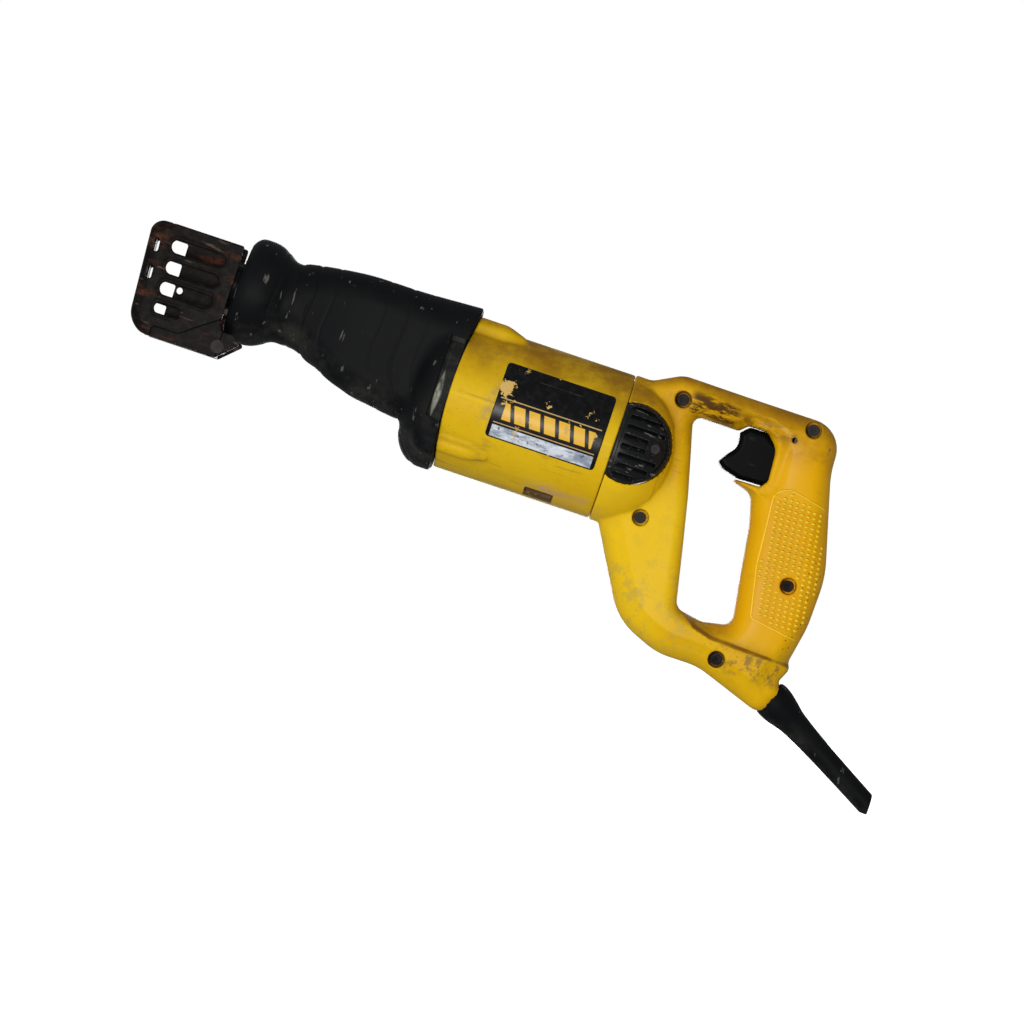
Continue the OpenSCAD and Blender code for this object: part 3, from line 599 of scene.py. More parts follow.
def label_material(name):
    """Plain worn plate: black field, tan rules, a row of tan blocks and a silver foot whose
    bright blotches are a painted reflection.
    """
    n = Nodes(name, (0.0045, 0.0045, 0.005))
    x = n.axis("X")
    z = n.axis("Z")
    n.tint((0.010, 0.010, 0.011), n.steps(n.noise(300, 4), 0.4, 0.7))
    row = n.spot((0.1845, -0.0262), (0.2405, -0.0160), 0.00015)
    turns = n.times(n.scaled(z, 0.30, x), math.tau / BLOCK_PITCH)
    n.tint((0.74, 0.42, 0.030), row, n.steps(n.maths("SINE", turns), -0.74, -0.60))
    rules = n.maths("MAXIMUM", n.band(z, -0.0140, -0.0133, 0.0001),
                    n.band(z, -0.0290, -0.0284, 0.0001))
    n.tint((0.50, 0.33, 0.14), rules, n.band(x, 0.1805, 0.2435, 0.0002))
    foil = n.spot((0.1805, -0.0372), (0.2436, -0.0302), 0.0002)
    # Silver foil colour, with bright blotches that are a painted reflection
    blotch = n.noise(150, 7, 0.75, stretch=(0.5, 1, 1.4), shift=5.0)
    silver = n.mix(n.steps(blotch, 0.40, 0.60), (0.30, 0.35, 0.44), (0.82, 0.86, 0.93))
    silver = n.mix(n.steps(n.noise(230, 6, 0.7, shift=2.6), 0.60, 0.68), silver,
                   (0.03, 0.03, 0.035))
    n.tint(silver, foil)
    # Chips through the print, most of them near the two short edges
    chips = n.noise(70, 6, 0.70, shift=7.3)
    near_edge = n.maths("MAXIMUM", n.steps(x, 0.1945, 0.1800), n.steps(x, 0.2330, 0.2450))
    level = n.band(z, -0.0200, -0.0040, 0.004)
    hit = n.steps(n.maths("ADD", chips, n.times(near_edge, level, 0.135)), 0.642, 0.652)
    n.tint((0.62, 0.40, 0.12), hit)
    n.tint((0.62, 0.64, 0.62), n.steps(n.noise(150, 8, 0.75, shift=9.4), 0.705, 0.720))
    scratch = n.steps(n.noise(420, 2, 0.5, stretch=(0.06, 1, 1), shift=2.0), 0.70, 0.74)
    n.tint((0.25, 0.25, 0.25), scratch, 0.25)
    return n.finish(n.scaled(hit, 0.35, 0.26), n.bump(hit, -0.00008, 0.6),
                    metal=n.times(foil, 0.35), shine=0.10)


# ---- Outlines in the XZ plane, each corner as [x, z, radius] ----

HANDLE_OUTLINE = Outline([
    [228, 25, 0], [263, 25, 12], [280, 34, 16], [381.5, 34, 18], [382.5, 6, 60],
    [399.2, -54, 70], [398.4, -86, 70], [394.4, -108, 6], [395.8, -114, 5],
    [392, -122, 3], [396.5, -129, 7], [388, -144.6, 9], [343, -128.8, 40],
    [317, -128.8, 40], [289, -117.5, 40], [259, -65, 3], [228, -65, 0]])
GRIP_OPENING = Outline([
    [292.8, 13.2, 5], [322, 13.2, 3], [327, 18, 3], [338.4, 18, 7], [346.4, 9.4, 12],
    [347.8, -10, 3], [344.5, -14.8, 2], [328.4, -15.2, 0.8], [328.4, -16.6, 0.6],
    [341, -20.4, 8], [346, -38, 30], [355, -99, 6], [337, -102.6, 10],
    [319.5, -99.5, 7], [311.5, -62, 60], [305, -33, 60]])
WEB_REGION = Outline([
    [220, 60, 0], [330, 60, 0], [330, -60, 0], [322, -97, 4], [333, -106.5, 8],
    [345, -110, 12], [420, -112, 0], [420, -160, 0], [220, -160, 0]])
PANEL_CORNERS = [
    [353.5, -15.5, 7], [362, -10.6, 9], [388, -16, 12], [404, -50, 0],
    [404, -97, 0], [363.5, -91.0, 3], [357, -60, 40]]
GRIP_PANEL = Outline(PANEL_CORNERS)
TRIGGER_OUTLINE = Outline([
    [322.8, 12.4, 1], [327.7, 17.3, 3], [338, 17.3, 5], [350.5, 10, 8], [351.5, -8, 3],
    [347.6, -13.7, 2.5], [330, -14.2, 6], [320, -11.5, 5], [312.6, -5.6, 2], [325, 2, 9]],
    step=0.2)

PANEL_SLANT = 0.155                      # how far the grip panel leans back per height
PIP_ROWS = 28
PIP_COLUMNS = 12
PIP_START = (364.5, -90.0)
PIP_PITCH = (3.85, 3.05)
GRIP_HALF = 17.0
WEB_HALF = 20.0
HANDLE_SCREWS = [(284, 20), (282, -55), (364, 27.5), (379, -66), (352, -121)]
VENT_CENTRE = (262.8, -15.0)
VENT_R = 24.0
VENT_SCREW = (277.0, -14.0)
DOME_X = 256.0
DOME_LEN = 38.5
HOUSING_SCREWS = [(s * y, z) for y, z in ((16, 22), (33, -50.5)) for s in (-1, 1)]


def dome(x, y, z, inset):
    """Round motor end: a cylinder that closes as an ellipsoid."""
    return ellipse(np.maximum(x - DOME_X, 0), np.hypot(y, z - MOTOR_Z),
                   DOME_LEN - inset, MOTOR_R - inset)


def cord_coordinates(x, y, z):
    """Distance along the cord outlet and distance from its axis."""
    dx = x - CORD_START[0]
    dz = z - CORD_START[2]
    along = dx * CORD_DIR[0] + dz * CORD_DIR[2]
    up = dx * CORD_UP[0] + dz * CORD_UP[2]
    return along, np.hypot(up, y)


def vent_shape(x, z):
    """D-shaped outline of the vent cover."""
    disc = np.hypot(x - VENT_CENTRE[0], z - VENT_CENTRE[1]) - VENT_R
    return blend_max(disc, SEAM_X - x, 3.0)


def handle_flat(x, z):
    """Side outline of the handle with its grip opening."""
    return np.maximum(HANDLE_OUTLINE(x, z), -GRIP_OPENING(x, z))


def handle_sizes(x, z, flat):
    """Half width and edge radius of the handle at a place in the side view."""
    web = smooth_step(-WEB_REGION(x, z), -1.4, 1.4)
    web = web * (1 - smooth_step(x, 284, 326) * smooth_step(z, -6, 2))
    along, _ = cord_coordinates(x, 0.0, z)
    taper = smooth_step(along, -6, 15)
    half = GRIP_HALF + web * (WEB_HALF - GRIP_HALF) - 5.5 * taper
    # The grip is crowned; the web has a broad bevel along its outer edge
    pocket = 1 - smooth_step(round_box(x, z, (338, 2), (9, 15), 5), 0, 8)
    half = half - 2.6 * (1 - web) * (1 - pocket) * np.clip(1 + flat / 18, 0, 1) ** 2
    low = smooth_step(-z, 40, 62) * web * (1 - taper)
    half = half - 0.55 * low * np.maximum(HANDLE_OUTLINE(x, z) + 14, 0)
    edge = 11.5 - 3.5 * web - 6.5 * (1 - web) * pocket
    return half, edge


def handle_outside(x, y, z):
    flat = handle_flat(x, z)
    half, edge = handle_sizes(x, z, flat)
    # Round shoulder over the motor, with a shallow step before its tip
    cap = dome(x, y, z, 0.0) + 0.5 * smooth_step(x, 283.6, 284.6)
    return blend_min(cap, extrude(flat, y, half, edge), 1.8)


def handle_inside(x, y, z):
    room = handle_outside(x, y, z) + 3.0
    for sx, sz in HANDLE_SCREWS:
        room = np.maximum(room, 6.5 - np.hypot(x - sx, z - sz))
    window = np.maximum(round_box(x, z, (348.5, 0.95), (5.5, 14.85), 1), np.abs(y) - 11.2)
    return np.minimum(room, window)


def handle_field(side):
    def field(x, y, z):
        d = np.maximum(handle_outside(x, y, z), -handle_inside(x, y, z))
        d = blend_max(d, SEAM_X + 0.2 - x, 1.2)
        d = blend_max(d, 0.01 - side * y, 0.9)
        # Cord outlet with its flange groove
        along, rho = cord_coordinates(x, y, z)
        hole = np.where(along < 12, 9.0, 12.0) + 2.4 * ((along > 3) & (along < 7))
        d = np.maximum(d, np.minimum(hole - rho, along + 9))
        # Side opening for the vent cover
        d = np.maximum(d, np.minimum(0.35 - vent_shape(x, z), side * y - 22))
        if side < 0:
            for sx, sz in HANDLE_SCREWS:
                rho = np.hypot(x - sx, z - sz)
                d = blend_max(d, np.minimum(5.0 - rho, -6.0 - y), 1.0)
                d = np.maximum(d, 2.2 - rho)
            # Small moulded pit beside the trigger
            d = blend_max(d, np.minimum(1.6 - np.hypot(x - 355, z - 18), -13.6 - y), 0.6)
        return d
    return field


def build_handle(side, name, material):
    left, right = sorted((-side, side * 46))
    piece = field_mesh(name + "_shell", handle_field(side), [SEAM_X, left, -148],
                       [400, right, 35], 1.0, material)
    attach(piece, "housing")
    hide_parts(name)


def handle_skin(side, x, z):
    """Point on the side face of the handle, and the direction it faces."""
    flat = handle_flat(x, z)
    half, edge = handle_sizes(x, z, flat)
    depth = np.clip(flat + edge, 0, edge)
    y = side * (half - edge + np.sqrt(edge ** 2 - depth ** 2))
    place = np.stack([x, y, z], axis=-1)
    for _ in range(PULLS):
        place[:, 1] -= side * handle_outside(*place.T)
    out = gradient(handle_outside, place, 0.3)
    return place, out / np.linalg.norm(out, axis=1)[:, None]


def ring_quads(base, i, j, count):
    """Faces between ring i and ring j of points, with count points to a ring."""
    pairs = [(k, (k + 1) % count) for k in range(count)]
    return [[base + i * count + k, base + i * count + m,
             base + j * count + m, base + j * count + k] for k, m in pairs]


def build_grip_dots(side, name, material):
    """Rows of raised pips on one side of the grip, inside a raised border line."""
    rows, columns = np.meshgrid(np.arange(PIP_ROWS), np.arange(PIP_COLUMNS), indexing="ij")
    rise = rows.ravel() * PIP_PITCH[1]
    z = PIP_START[1] + rise
    x = PIP_START[0] + columns.ravel() * PIP_PITCH[0] - PANEL_SLANT * rise
    keep = (GRIP_PANEL(x, z) < -2.4) & (HANDLE_OUTLINE(x, z) < -3.4)
    if side < 0:
        keep &= np.hypot(x - 379, z + 66) > 7.0
    centre, out = handle_skin(side, x[keep], z[keep])
    points = []
    faces = []
    ring = 10
    profile = [(1.30, -0.25), (1.20, 0.14), (0.88, 0.50), (0.44, 0.72)]
    for middle, normal in zip(centre, out):
        across = np.cross(normal, [1, 0, 0])
        across /= np.linalg.norm(across)
        along = np.cross(across, normal)
        base = len(points)
        for r, h in profile:
            for k in range(ring):
                t = 2 * math.pi * k / ring
                points.append(middle + r * (1.12 * math.cos(t) * along
                              + 0.86 * math.sin(t) * across) + h * normal)
        points.append(middle + 0.80 * normal)
        for i in range(len(profile) - 1):
            faces += ring_quads(base, i, i + 1, ring)
        top = base + (len(profile) - 1) * ring
        faces += [[top + k, top + (k + 1) % ring, base + len(profile) * ring]
                  for k in range(ring)]
        faces.append([base + k for k in range(ring - 1, -1, -1)])
    # Border line: a thin round bead that runs along the panel's edge
    edge = rounded(PANEL_CORNERS, 10)
    track = []
    for i in range(len(edge)):
        a, b = edge[i - 1], edge[i]
        count = max(1, int(np.linalg.norm(b - a) / 1.2))
        track += [a + (b - a) * k / count for k in range(count)]
    track = np.array(track)
    line = HANDLE_OUTLINE(track[:, 0], track[:, 1])
    skin, out = handle_skin(side, track[:, 0], track[:, 1])
    base = len(points)
    sides = 8
    for i in range(len(track)):
        step = skin[(i + 1) % len(track)] - skin[i - 1]
        across = np.cross(step, out[i])
        across /= np.linalg.norm(across)
        for k in range(sides):
            t = 2 * math.pi * k / sides
            points.append(skin[i] + 0.62 * math.cos(t) * across
                          + (0.42 * math.sin(t) - 0.06) * out[i])
    for i in range(len(track)):
        j = (i + 1) % len(track)
        if max(line[i], line[j]) <= -2.5:
            faces += ring_quads(base, i, j, sides)
    piece = mesh_object(name, points, faces, material)
    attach(piece, "housing")


# ---- Motor housing ----

def front_edge(z):
    """Curved joint between the boot and the motor housing."""
    return FRONT_X + 4.2 * np.clip((z + 15) / 45, -1, 1) ** 2


def motor_field(x, y, z):
    rho = np.hypot(y, z - MOTOR_Z)
    d = rho - MOTOR_R
    for sy, sz in HOUSING_SCREWS:
        r = (6.6 if sz > 0 else 5.4) - 4.2 * smooth_step(x, 169, 187)
        lobe = np.sqrt(np.maximum(x - 182, 0) ** 2 + (y - sy) ** 2 + (z - sz) ** 2) - r
        d = blend_min(d, lobe, 3.0)
    # Flat rubbing strip low on each side, and a slot in it
    d = d + 0.7 * smooth_step(x, 184, 188) * np.clip(0.6 - np.abs(z + 58.5) / 6, 0, 1)
    slot = np.maximum(round_box(x, z, (219.5, -60.8), (8.5, 1.5), 1.4), 16 - np.abs(y))
    d = blend_max(d, -np.maximum(slot, 42.5 - rho), 0.5)
    d = np.maximum(d, 41.0 - rho)
    d = blend_max(d, front_edge(z) + 0.15 - x, 1.0)
    return blend_max(d, x - SEAM_X + 0.15, 1.2)


def build_motor_housing(material):
    piece = field_mesh("motor_housing_shell", motor_field, [FRONT_X, -54, -68],
                       [SEAM_X, 54, 31], 1.0, material)
    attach(piece, "housing")
    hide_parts("motor_housing")


# ---- Vent covers ----

def vent_field(side):
    def field(x, y, z):
        depth = -dome(x, y, z, -0.6)
        back = -dome(x, y, z, 3.6)
        d = np.maximum(-depth, back)
        rim = vent_shape(x, z)
        d = blend_max(d, rim, 1.2)
        d = np.maximum(d, 22 - side * y)
        # Field inside the rim sits a little lower
        d = np.maximum(d, -np.maximum(rim + 2.2, depth - 0.9))
        # Louvres: level slots that slope steeply through the cover
        lean = z - 1.25 * (depth - 0.9)
        for k in range(8):
            zc = 5.4 - 5.9 * k
            reach = math.sqrt(max(VENT_R ** 2 - (zc - VENT_CENTRE[1]) ** 2, 0))
            left = SEAM_X + 4.2
            right = VENT_SCREW[0] - 5.0 if k in (3, 4) else VENT_CENTRE[0] + reach - 4.6
            slot = round_box(x, lean, ((left + right) / 2, zc), ((right - left) / 2, 1.45), 1.0)
            d = blend_max(d, -slot, 0.7)
        # Seat of the cover's screw
        ring = np.hypot(x - VENT_SCREW[0], z - VENT_SCREW[1])
        seat = np.maximum(np.maximum(ring - 4.4, back), 0.1 - depth)
        d = blend_min(d, seat, 0.8)
        d = np.maximum(d, np.minimum(2.95 - ring, side * y - 35.4))
        return np.maximum(d, 1.6 - ring)
    return field


def build_vent_cover(side, name, material):
    left, right = sorted((side * 22, side * 46))
    piece = field_mesh(name + "_louvres", vent_field(side), [SEAM_X, left, -40],
                       [288, right, 10], 0.55, material)
    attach(piece, "housing")
    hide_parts(name)


# ---- Label plates ----

def build_label(side, name, material):
    """Thin plate with round corners, bent to the side of the housing."""
    low, high = node_box(name)
    cx, cz = (low[0] + high[0]) / 2, (low[2] + high[2]) / 2
    hx, hz = (high[0] - low[0]) / 2, (high[2] - low[2]) / 2

    def field(x, y, z):
        rho = np.hypot(y, z - MOTOR_Z)
        d = blend_max(rho - MOTOR_R - 0.38, round_box(x, z, (cx, cz), (hx, hz), 2.4), 0.3)
        return np.maximum(np.maximum(d, MOTOR_R - 0.6 - rho), 20 - side * y)

    left, right = sorted((side * 33, side * 46))
    piece = field_mesh(name + "_plate", field, [low[0], left, low[2]],
                       [high[0], right, high[2]], 0.5, material)
    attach(piece, "housing")
    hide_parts(name)


# ---- Boot ----

RING_PROFILE = [(8.5, 27.5), (10.5, 30.0), (13.5, 31.6), (20, 32.45), (28, 31.3),
                (34, 28.2), (38, 25.6), (44, 24.9), (52, 24.6)]
BOOT_TOP = [(40, 25.2), (51, 27.4), (60, 28.8), (69, 30), (81, 31.2), (117, 31.8),
            (141, 33), (154, 33.7)]
BOOT_BOTTOM = [(40, -24.2), (48, -24.6), (54, -25.8), (63, -30), (69, -31.8), (75, -34.8),
               (81, -37.2), (87, -39), (93, -40.8), (105, -42.6), (117, -44.4), (128, -45.4),
               (150, -47)]
BOOT_HALF = [(40, 24.0), (50, 24.8), (65, 27.8), (80, 30.8), (105, 33.4), (128, 35.4),
             (150, 37.5)]
BOOT_CORNER = [(40, 23.5), (50, 21), (65, 19), (80, 17.5), (128, 20), (150, 21)]
BOOT_CREASES = [(32.0, 0.25, 0.9), (44.5, 0.30, 0.8), (54.0, 0.60, 0.9), (66.0, 0.35, 0.8),
                (97.5, 0.25, 0.9), (111.5, 0.35, 0.9), (124.0, 0.18, 0.8)]
FLANGE_CORNER = (146.0, 25.0, 19.0, 23.3)     # centre x, centre r, reach in x and r


def boot_section(x, y, z, wall):
    """Rounded cross section of the boot at x, thinner all round by wall."""
    top = curve_through(x, BOOT_TOP) - wall
    bottom = curve_through(x, BOOT_BOTTOM) + wall
    return round_box(y, z, (0, (top + bottom) / 2),
                     (curve_through(x, BOOT_HALF) - wall, (top - bottom) / 2),
                     curve_through(x, BOOT_CORNER) - wall)


def boot_field(x, y, z):
    # The lip of the bell is rounder towards its top
    rounder = 4.5 * np.exp(-((x - 8) / 4) ** 2) * smooth_step(z, -15, 25)
    ring = np.hypot(y, z) - curve_through(x, RING_PROFILE) + rounder
    ring = blend_max(ring * 0.9, 9.05 - x, 2.4)
    ring = np.maximum(ring, x - 52)
    body = np.maximum(boot_section(x, y, z, 0), 44 - x)
    cx, cr, a, b = FLANGE_CORNER
    u = np.maximum(cx - x, 0)
    rho = np.hypot(y, z - MOTOR_Z)
    v = np.maximum(rho - cr, 0)
    flange = np.where((u > 0) | (v > 0), ellipse(u, v, a, b), -15.0)
    flange = np.maximum(flange, cx - a - x)
    for s in (-1, 1):
        ear = np.sqrt(np.maximum(147 - x, 0) ** 2 + (y - s * 33) ** 2 + (z + 50.5) ** 2) - 9.6
        flange = blend_min(flange, ear, 3.0)
    d = blend_min(blend_min(ring, body, 1.5), flange, 3.5)
    # Moulded creases that lean back towards the bottom
    bow = 0.0078 * np.maximum(-z - 5, 0) ** 2 + 0.9 * np.sin(z / 9.0)
    for place, depth, width in BOOT_CREASES:
        d = d + depth * np.exp(-((x - place - bow) / width) ** 2)
    # Hollow: bell mouth at the front, room for the gear case behind it
    mouth = np.hypot(y, z) - np.interp(x, [9, 30, 37, 46], [26.6, 26.6, 21.6, 21.6])
    inside = np.maximum(boot_section(x, y, z, 3), 46 - x)
    room = np.minimum(np.where(x < 46, mouth, 5.0), inside)
    room = np.minimum(room, np.maximum(rho - 45.2, 145.4 - x))
    d = np.maximum(d, -room)
    # Side notches where the flange of the gear case shows, with a slanted foot
    notch = np.maximum(141.5 - x, np.maximum(z - 12.6, -37.0 - 0.30 * (x - 141.5) - z))
    notch = np.maximum(notch, 28 - np.abs(y))
    d = blend_max(d, -notch, 1.2)
    rear = front_edge(z) - 0.25 - 1.2 * smooth_step(-z, 50, 56) * smooth_step(rho, 45.7, 47.2)
    return blend_max(d, x - rear, 1.6)


def build_boot(material):
    piece = field_mesh("boot_moulding", boot_field, [9, -48, -70], [156, 48, 35], 0.85,
                       material)
    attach(piece, "housing")
    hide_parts("boot", "boot_bell")


# ---- Shoe ----

SHOE_WALL = Outline([
    [-50, 23.4, 8], [7, 23.4, 1.5], [7, -22, 2], [-15, -38.4, 4], [-33, -38.4, 3],
    [-33, -45, 0], [-50, -45, 13]], step=0.25)
SHOE_STRIP = Outline([[-50, 23.4, 8], [60, 23.4, 0], [60, -45, 0], [-50, -45, 13]], step=0.25)
SHOE_FLANGE = Outline([
    [-36, -45, 0], [10.5, -45, 2], [22.5, -33.6, 1.5], [17.5, -29, 3], [9, -29, 1],
    [6.9, -25.4, 1.5], [6.9, -20, 1], [-3, -20, 2], [-14, -35.5, 3], [-36, -37.5, 0]],
    step=0.25)


def shoe_field(x, y, z):
    # The front leans: its foot sits a little further back than its top
    x = x - 0.075 * np.clip(16 - z, 0, 60) * smooth_step(-x, 20, 44)
    edge = 6.5 - 5.7 * smooth_step(x, -42, -34)
    flat = SHOE_STRIP(x, z)
    d = np.maximum(extrude(flat, y, 25, edge),
                   -extrude(flat + 2.5, y, 22.5, np.maximum(edge - 2.5, 0.4)))
    # Open top behind the lip, open back, and the cut of the side walls
    lid = np.maximum(np.maximum(-38 - x, 18 - z), np.abs(y) - 22.5)
    d = blend_max(d, -lid, 0.8)
    d = np.maximum(d, np.minimum(np.abs(y) - 22.5, SHOE_WALL(x, z)))
    d = np.maximum(d, x - 10)
    # Flanges turned up from the floor, with the lugs for the pivot pin
    flange = extrude(SHOE_FLANGE(x, z), np.abs(y) - 21, 1.5, 0.5)
    d = blend_min(d, flange, 1.2)
    d = np.maximum(d, 3.05 - np.hypot(x - 10, z + 38.5))
    # Windows, one wall at a time
    left = round_slot(x, z, -32, -20, -27.6, 3.0)
    for height in (10.5, -2.4, -15.3):
        left = np.minimum(left, round_slot(x, z, -31, -5, height, 3.9))
    for low in (5.5, -11):
        left = np.minimum(left, round_slot(z, x, low, low + 4.4, -44.3, 1.7))
    right = np.minimum(round_box(x, z, (-35.35, -27.5), (4.65, 3.0), 1.2),
                       np.hypot(x + 25.4, z + 13.1) - 2.0)
    for height in (11.1, -1.9, -14.8):
        right = np.minimum(right, round_box(x, z, (-34.45, height), (5.55, 4.1), 1.2))
    for low in (6, -10.6):
        right = np.minimum(right, round_slot(z, x, low, low + 4.4, -45.6, 1.7))
    window = np.where(y < 0, np.maximum(left, y + 12), np.maximum(right, 12 - y))
    # Pressed rims stand round the windows of the left wall
    rim = np.where(y < 0, 0.22 * np.exp(-((left - 1.4) / 1.0) ** 2), 0.0)
    rim = rim * smooth_step(-y, 23.5, 24.5) * smooth_step(x, -40, -37)
    d = blend_max(d - rim, -window, 1.0)
    # Way for the blade through the front plate
    way = np.maximum(round_box(y, z, (0, 0), (10, 14), 1.0), x + 40)
    return blend_max(d, -way, 0.8)


def build_shoe(material):
    piece = field_mesh("shoe_pressing", shoe_field, [-50.5, -26, -46], [23, 26, 24.5], 0.6,
                       material)
    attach(piece, "shoe")
    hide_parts("shoe")


# ---- Trigger and cord protector ----

TRIGGER_PIVOT = joint_place("trigger_pull")


def trigger_field(x, y, z):
    d = extrude(TRIGGER_OUTLINE(x, z), y, 10.7, 3.4)
    px, pz = TRIGGER_PIVOT[0], TRIGGER_PIVOT[2]
    slot = np.minimum(np.hypot(x - px, z - pz) - 6,
                      round_box(x, z, (px + 15, pz - 0.2), (15, 9.3), 0.5))
    d = np.maximum(d, -np.maximum(slot, np.abs(y) - 3.9))
    # Shallow finger hollow across the front
    hollow = np.hypot(x - 300.5, z - 5.5) - 20.6
    return blend_max(d, -hollow - 0.4 * (y / 10.4) ** 2, 1.5)


def build_trigger(material):
    piece = field_mesh("trigger_lever", trigger_field, [312, -11.2, -15], [348, 11.2, 18], 0.6,
                       material)
    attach(piece, "trigger")
    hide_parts("trigger")


SLEEVE_PROFILE = [(12.3, 10.6), (15, 11.4), (20, 11.5), (27, 10.3), (34, 8.7), (42, 7.9),
                  (55, 7.2), (75, 6.7), (104, 6.35)]


def sleeve_field(x, y, z):
    along, rho = cord_coordinates(x, y, z)
    body = rho - curve_through(along, SLEEVE_PROFILE)
    body = blend_max(body, 12.6 - along, 1.5)
    body = blend_max(body, x - 467.6, 0.8)
    root = np.maximum(rho - 8.8, np.abs(along - 13) - 17)
    collar = np.maximum(rho - 11.2, np.abs(along - 5) - 1.8)
    solid = np.maximum(np.minimum(np.minimum(body, root), collar), 4.0 - rho)
    return np.maximum(solid, -181.1 - z)


def build_cord_protector(material):
    piece = field_mesh("cord_sleeve", sleeve_field, [370, -12.5, -184], [470, 12.5, -110],
                       0.7, material)
    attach(piece, "housing")
    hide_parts("cord_protector")


# ---- Everything together ----

def build_materials():
    return {
        # The pips take a lighter copy of the handle's yellow: painted highlight on their raised
        # tops
        "highlit_pip_yellow": yellow_material("highlit_pip_yellow", (0.94, 0.57, 0.010), (0.97, 0.63, 0.022),
                                       shine=0.3),
        "handle_yellow": yellow_material("handle_yellow", (0.71, 0.385, 0.001),
                                         (0.75, 0.44, 0.004), marks=handle_marks),
        "yellow_plastic": yellow_material("worn_yellow", (0.65, 0.385, 0.002),
                                          (0.70, 0.45, 0.008), marks=motor_marks),
        "black_rubber": rubber_material("moulded_rubber"),
        "black_plastic": black_plastic_material("scratched_black"),
        "gloss_black": black_plastic_material("trigger_black", base=(0.0028, 0.0029, 0.0034),
                                              rough=0.30, scratches=0.05, shine=0.025),
        "label_skin": label_material("worn_label"),
        "cast_alloy": metal_material("cast_alloy", (0.50, 0.52, 0.49), 0.42,
                                     stain=(0.09, 0.085, 0.07), stain_amount=0.7),
        "grimy_alloy": grimy_alloy_material("grimy_alloy"),
        "bright_steel": metal_material("ground_steel", (0.50, 0.49, 0.47), 0.28),
        "dark_steel": rusty_steel_material("rusty_steel"),
        "bronze": metal_material("bearing_bronze", (0.46, 0.27, 0.10), 0.38),
        "copper": metal_material("copper_wire", (0.52, 0.21, 0.09), 0.34,
                                 stretch=(1, 6, 6), grain=500),
        "lamination": metal_material("stacked_sheet", (0.17, 0.17, 0.18), 0.45,
                                     stretch=(9, 1, 1), grain=900),
        "carbon": black_plastic_material("pressed_carbon", base=(0.012, 0.012, 0.012),
                                         rough=0.6, scratches=0.2),
        "screw_steel": metal_material("screw_steel", (0.030, 0.026, 0.027), 0.5,
                                      stain=(0.012, 0.008, 0.006), stain_amount=0.8,
                                      bare=0.15),
    }


def dress_cad_nodes(materials):
    """Every CAD node that stays gets the finish of its slot."""
    special = dict.fromkeys(("handle_screws", "vent_screws", "clamp_screw", "blade_clamp",
                             "shoe_pivot_pin", "gear_case_screws"), "screw_steel")
    special.update(gear_case="grimy_alloy", gear_case_cover="grimy_alloy",
                   shoe_post="dark_steel", clamp_collar="gloss_black")
    for part in frame["record"]["subparts"]:
        name = part["node"]
        node = frame["nodes"][name]
        material = materials[special.get(name, part["material_slot"])]
        if not node.material_slots:
            node.data.materials.append(material)
        for slot in node.material_slots:
            slot.material = material


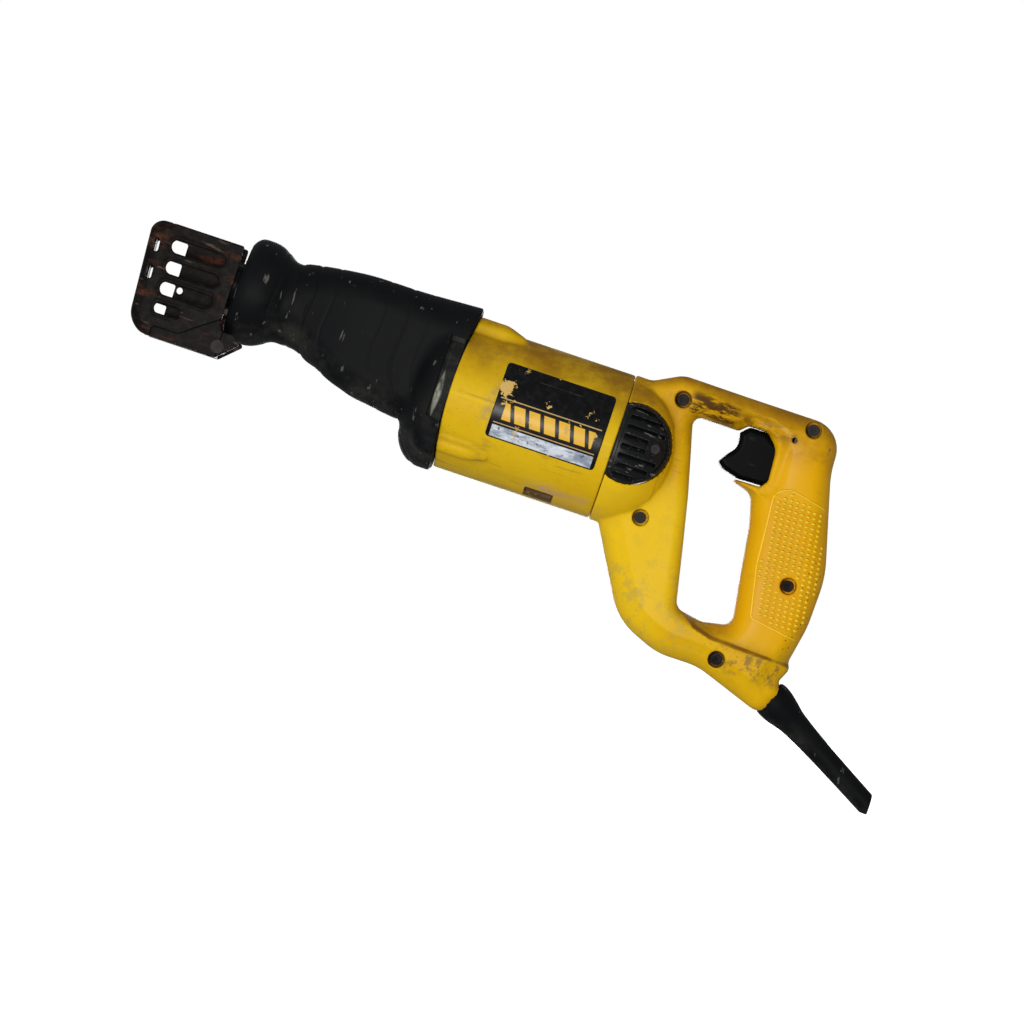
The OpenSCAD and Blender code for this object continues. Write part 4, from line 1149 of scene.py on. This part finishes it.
def build_stage(low):
    """Pale floor under the tool, and a white surround."""
    n = Nodes("pale_floor", (0.50, 0.50, 0.495))
    n.tint((0.52, 0.52, 0.515), n.noise(3.0, 3))
    material = n.finish(0.75)
    n.shader.inputs["Emission Color"].default_value = (1, 1, 1, 1)
    n.shader.inputs["Emission Strength"].default_value = 1.0
    mesh = bpy.data.meshes.new("floor")
    reach = 6.0
    corners = ((-reach, -reach), (reach, -reach), (reach, reach), (-reach, reach))
    mesh.from_pydata([(*place, low) for place in corners], [], [(0, 1, 2, 3)])
    mesh.materials.append(material)
    floor = new_object("floor", mesh)
    floor.visible_diffuse = False
    floor.visible_glossy = False

    world = bpy.data.worlds.new("surround")
    world.use_nodes = True
    tree = world.node_tree
    tree.nodes.clear()
    # Dim for the tool, plain white for the camera
    mix = tree.nodes.new("ShaderNodeMixShader")
    path = tree.nodes.new("ShaderNodeLightPath")
    tree.links.new(path.outputs["Is Camera Ray"], mix.inputs[0])
    for socket, colour, strength in ((1, (0.94, 0.97, 1.0, 1), 0.36), (2, (1, 1, 1, 1), 1.0)):
        glow = tree.nodes.new("ShaderNodeBackground")
        glow.inputs["Color"].default_value = colour
        glow.inputs["Strength"].default_value = strength
        tree.links.new(glow.outputs[0], mix.inputs[socket])
    out = tree.nodes.new("ShaderNodeOutputWorld")
    tree.links.new(mix.outputs[0], out.inputs[0])
    bpy.context.scene.world = world


def area_light(name, place, target, size, power, colour=(1, 1, 1)):
    data = bpy.data.lights.new(name, "AREA")
    data.shape = "SQUARE"
    data.size = size
    data.energy = power
    data.color = colour
    lamp = new_object(name, data)
    lamp.location = place
    lamp.rotation_mode = "QUATERNION"
    lamp.rotation_quaternion = (Vector(target) - Vector(place)).to_track_quat("-Z", "Y")


def build_camera():
    """The photograph looks square at the left side, with the tool's nose tilted up."""
    roll = math.radians(18.5)
    distance = 3.2
    width = 0.6155
    sensor = 36
    centre = Vector((0.2082, 0.0, -0.0762))
    data = bpy.data.cameras.new("camera")
    data.sensor_width = sensor
    data.lens = sensor * distance / width
    data.clip_start = 0.01
    data.clip_end = 50
    camera = new_object("camera", data)
    right = Vector((math.cos(roll), 0, math.sin(roll)))
    up = Vector((-math.sin(roll), 0, math.cos(roll)))
    back = right.cross(up)
    matrix = Matrix((right, up, back)).transposed().to_4x4()
    matrix.translation = centre + back * distance
    camera.matrix_world = matrix
    bpy.context.scene.camera = camera


materials = build_materials()
dress_cad_nodes(materials)
for side, word in ((-1, "left"), (1, "right")):
    build_handle(side, "handle_" + word, materials["handle_yellow"])
    build_grip_dots(side, "grip_pips_" + word, materials["highlit_pip_yellow"])
    build_vent_cover(side, "vent_cover_" + word, materials["black_plastic"])
    build_label(side, "label_" + word, materials["label_skin"])
build_motor_housing(materials["yellow_plastic"])
build_boot(materials["black_rubber"])
build_shoe(materials["dark_steel"])
build_trigger(materials["gloss_black"])
build_cord_protector(materials["black_rubber"])

build_stage(cad_box[0].z - FLOOR_GAP)
area_light("key", (0.06, -1.50, -0.12), (0.2, 0, -0.06), 0.24, 17, (1.0, 0.985, 0.95))
area_light("fill", (-0.95, -1.05, 0.10), (0.2, 0, -0.05), 0.7, 4, (0.97, 0.98, 1.0))
area_light("behind", (0.25, 1.5, 0.05), (0.2, 0, -0.05), 0.9, 12)
build_camera()
bpy.context.scene.view_settings.view_transform = "Standard"
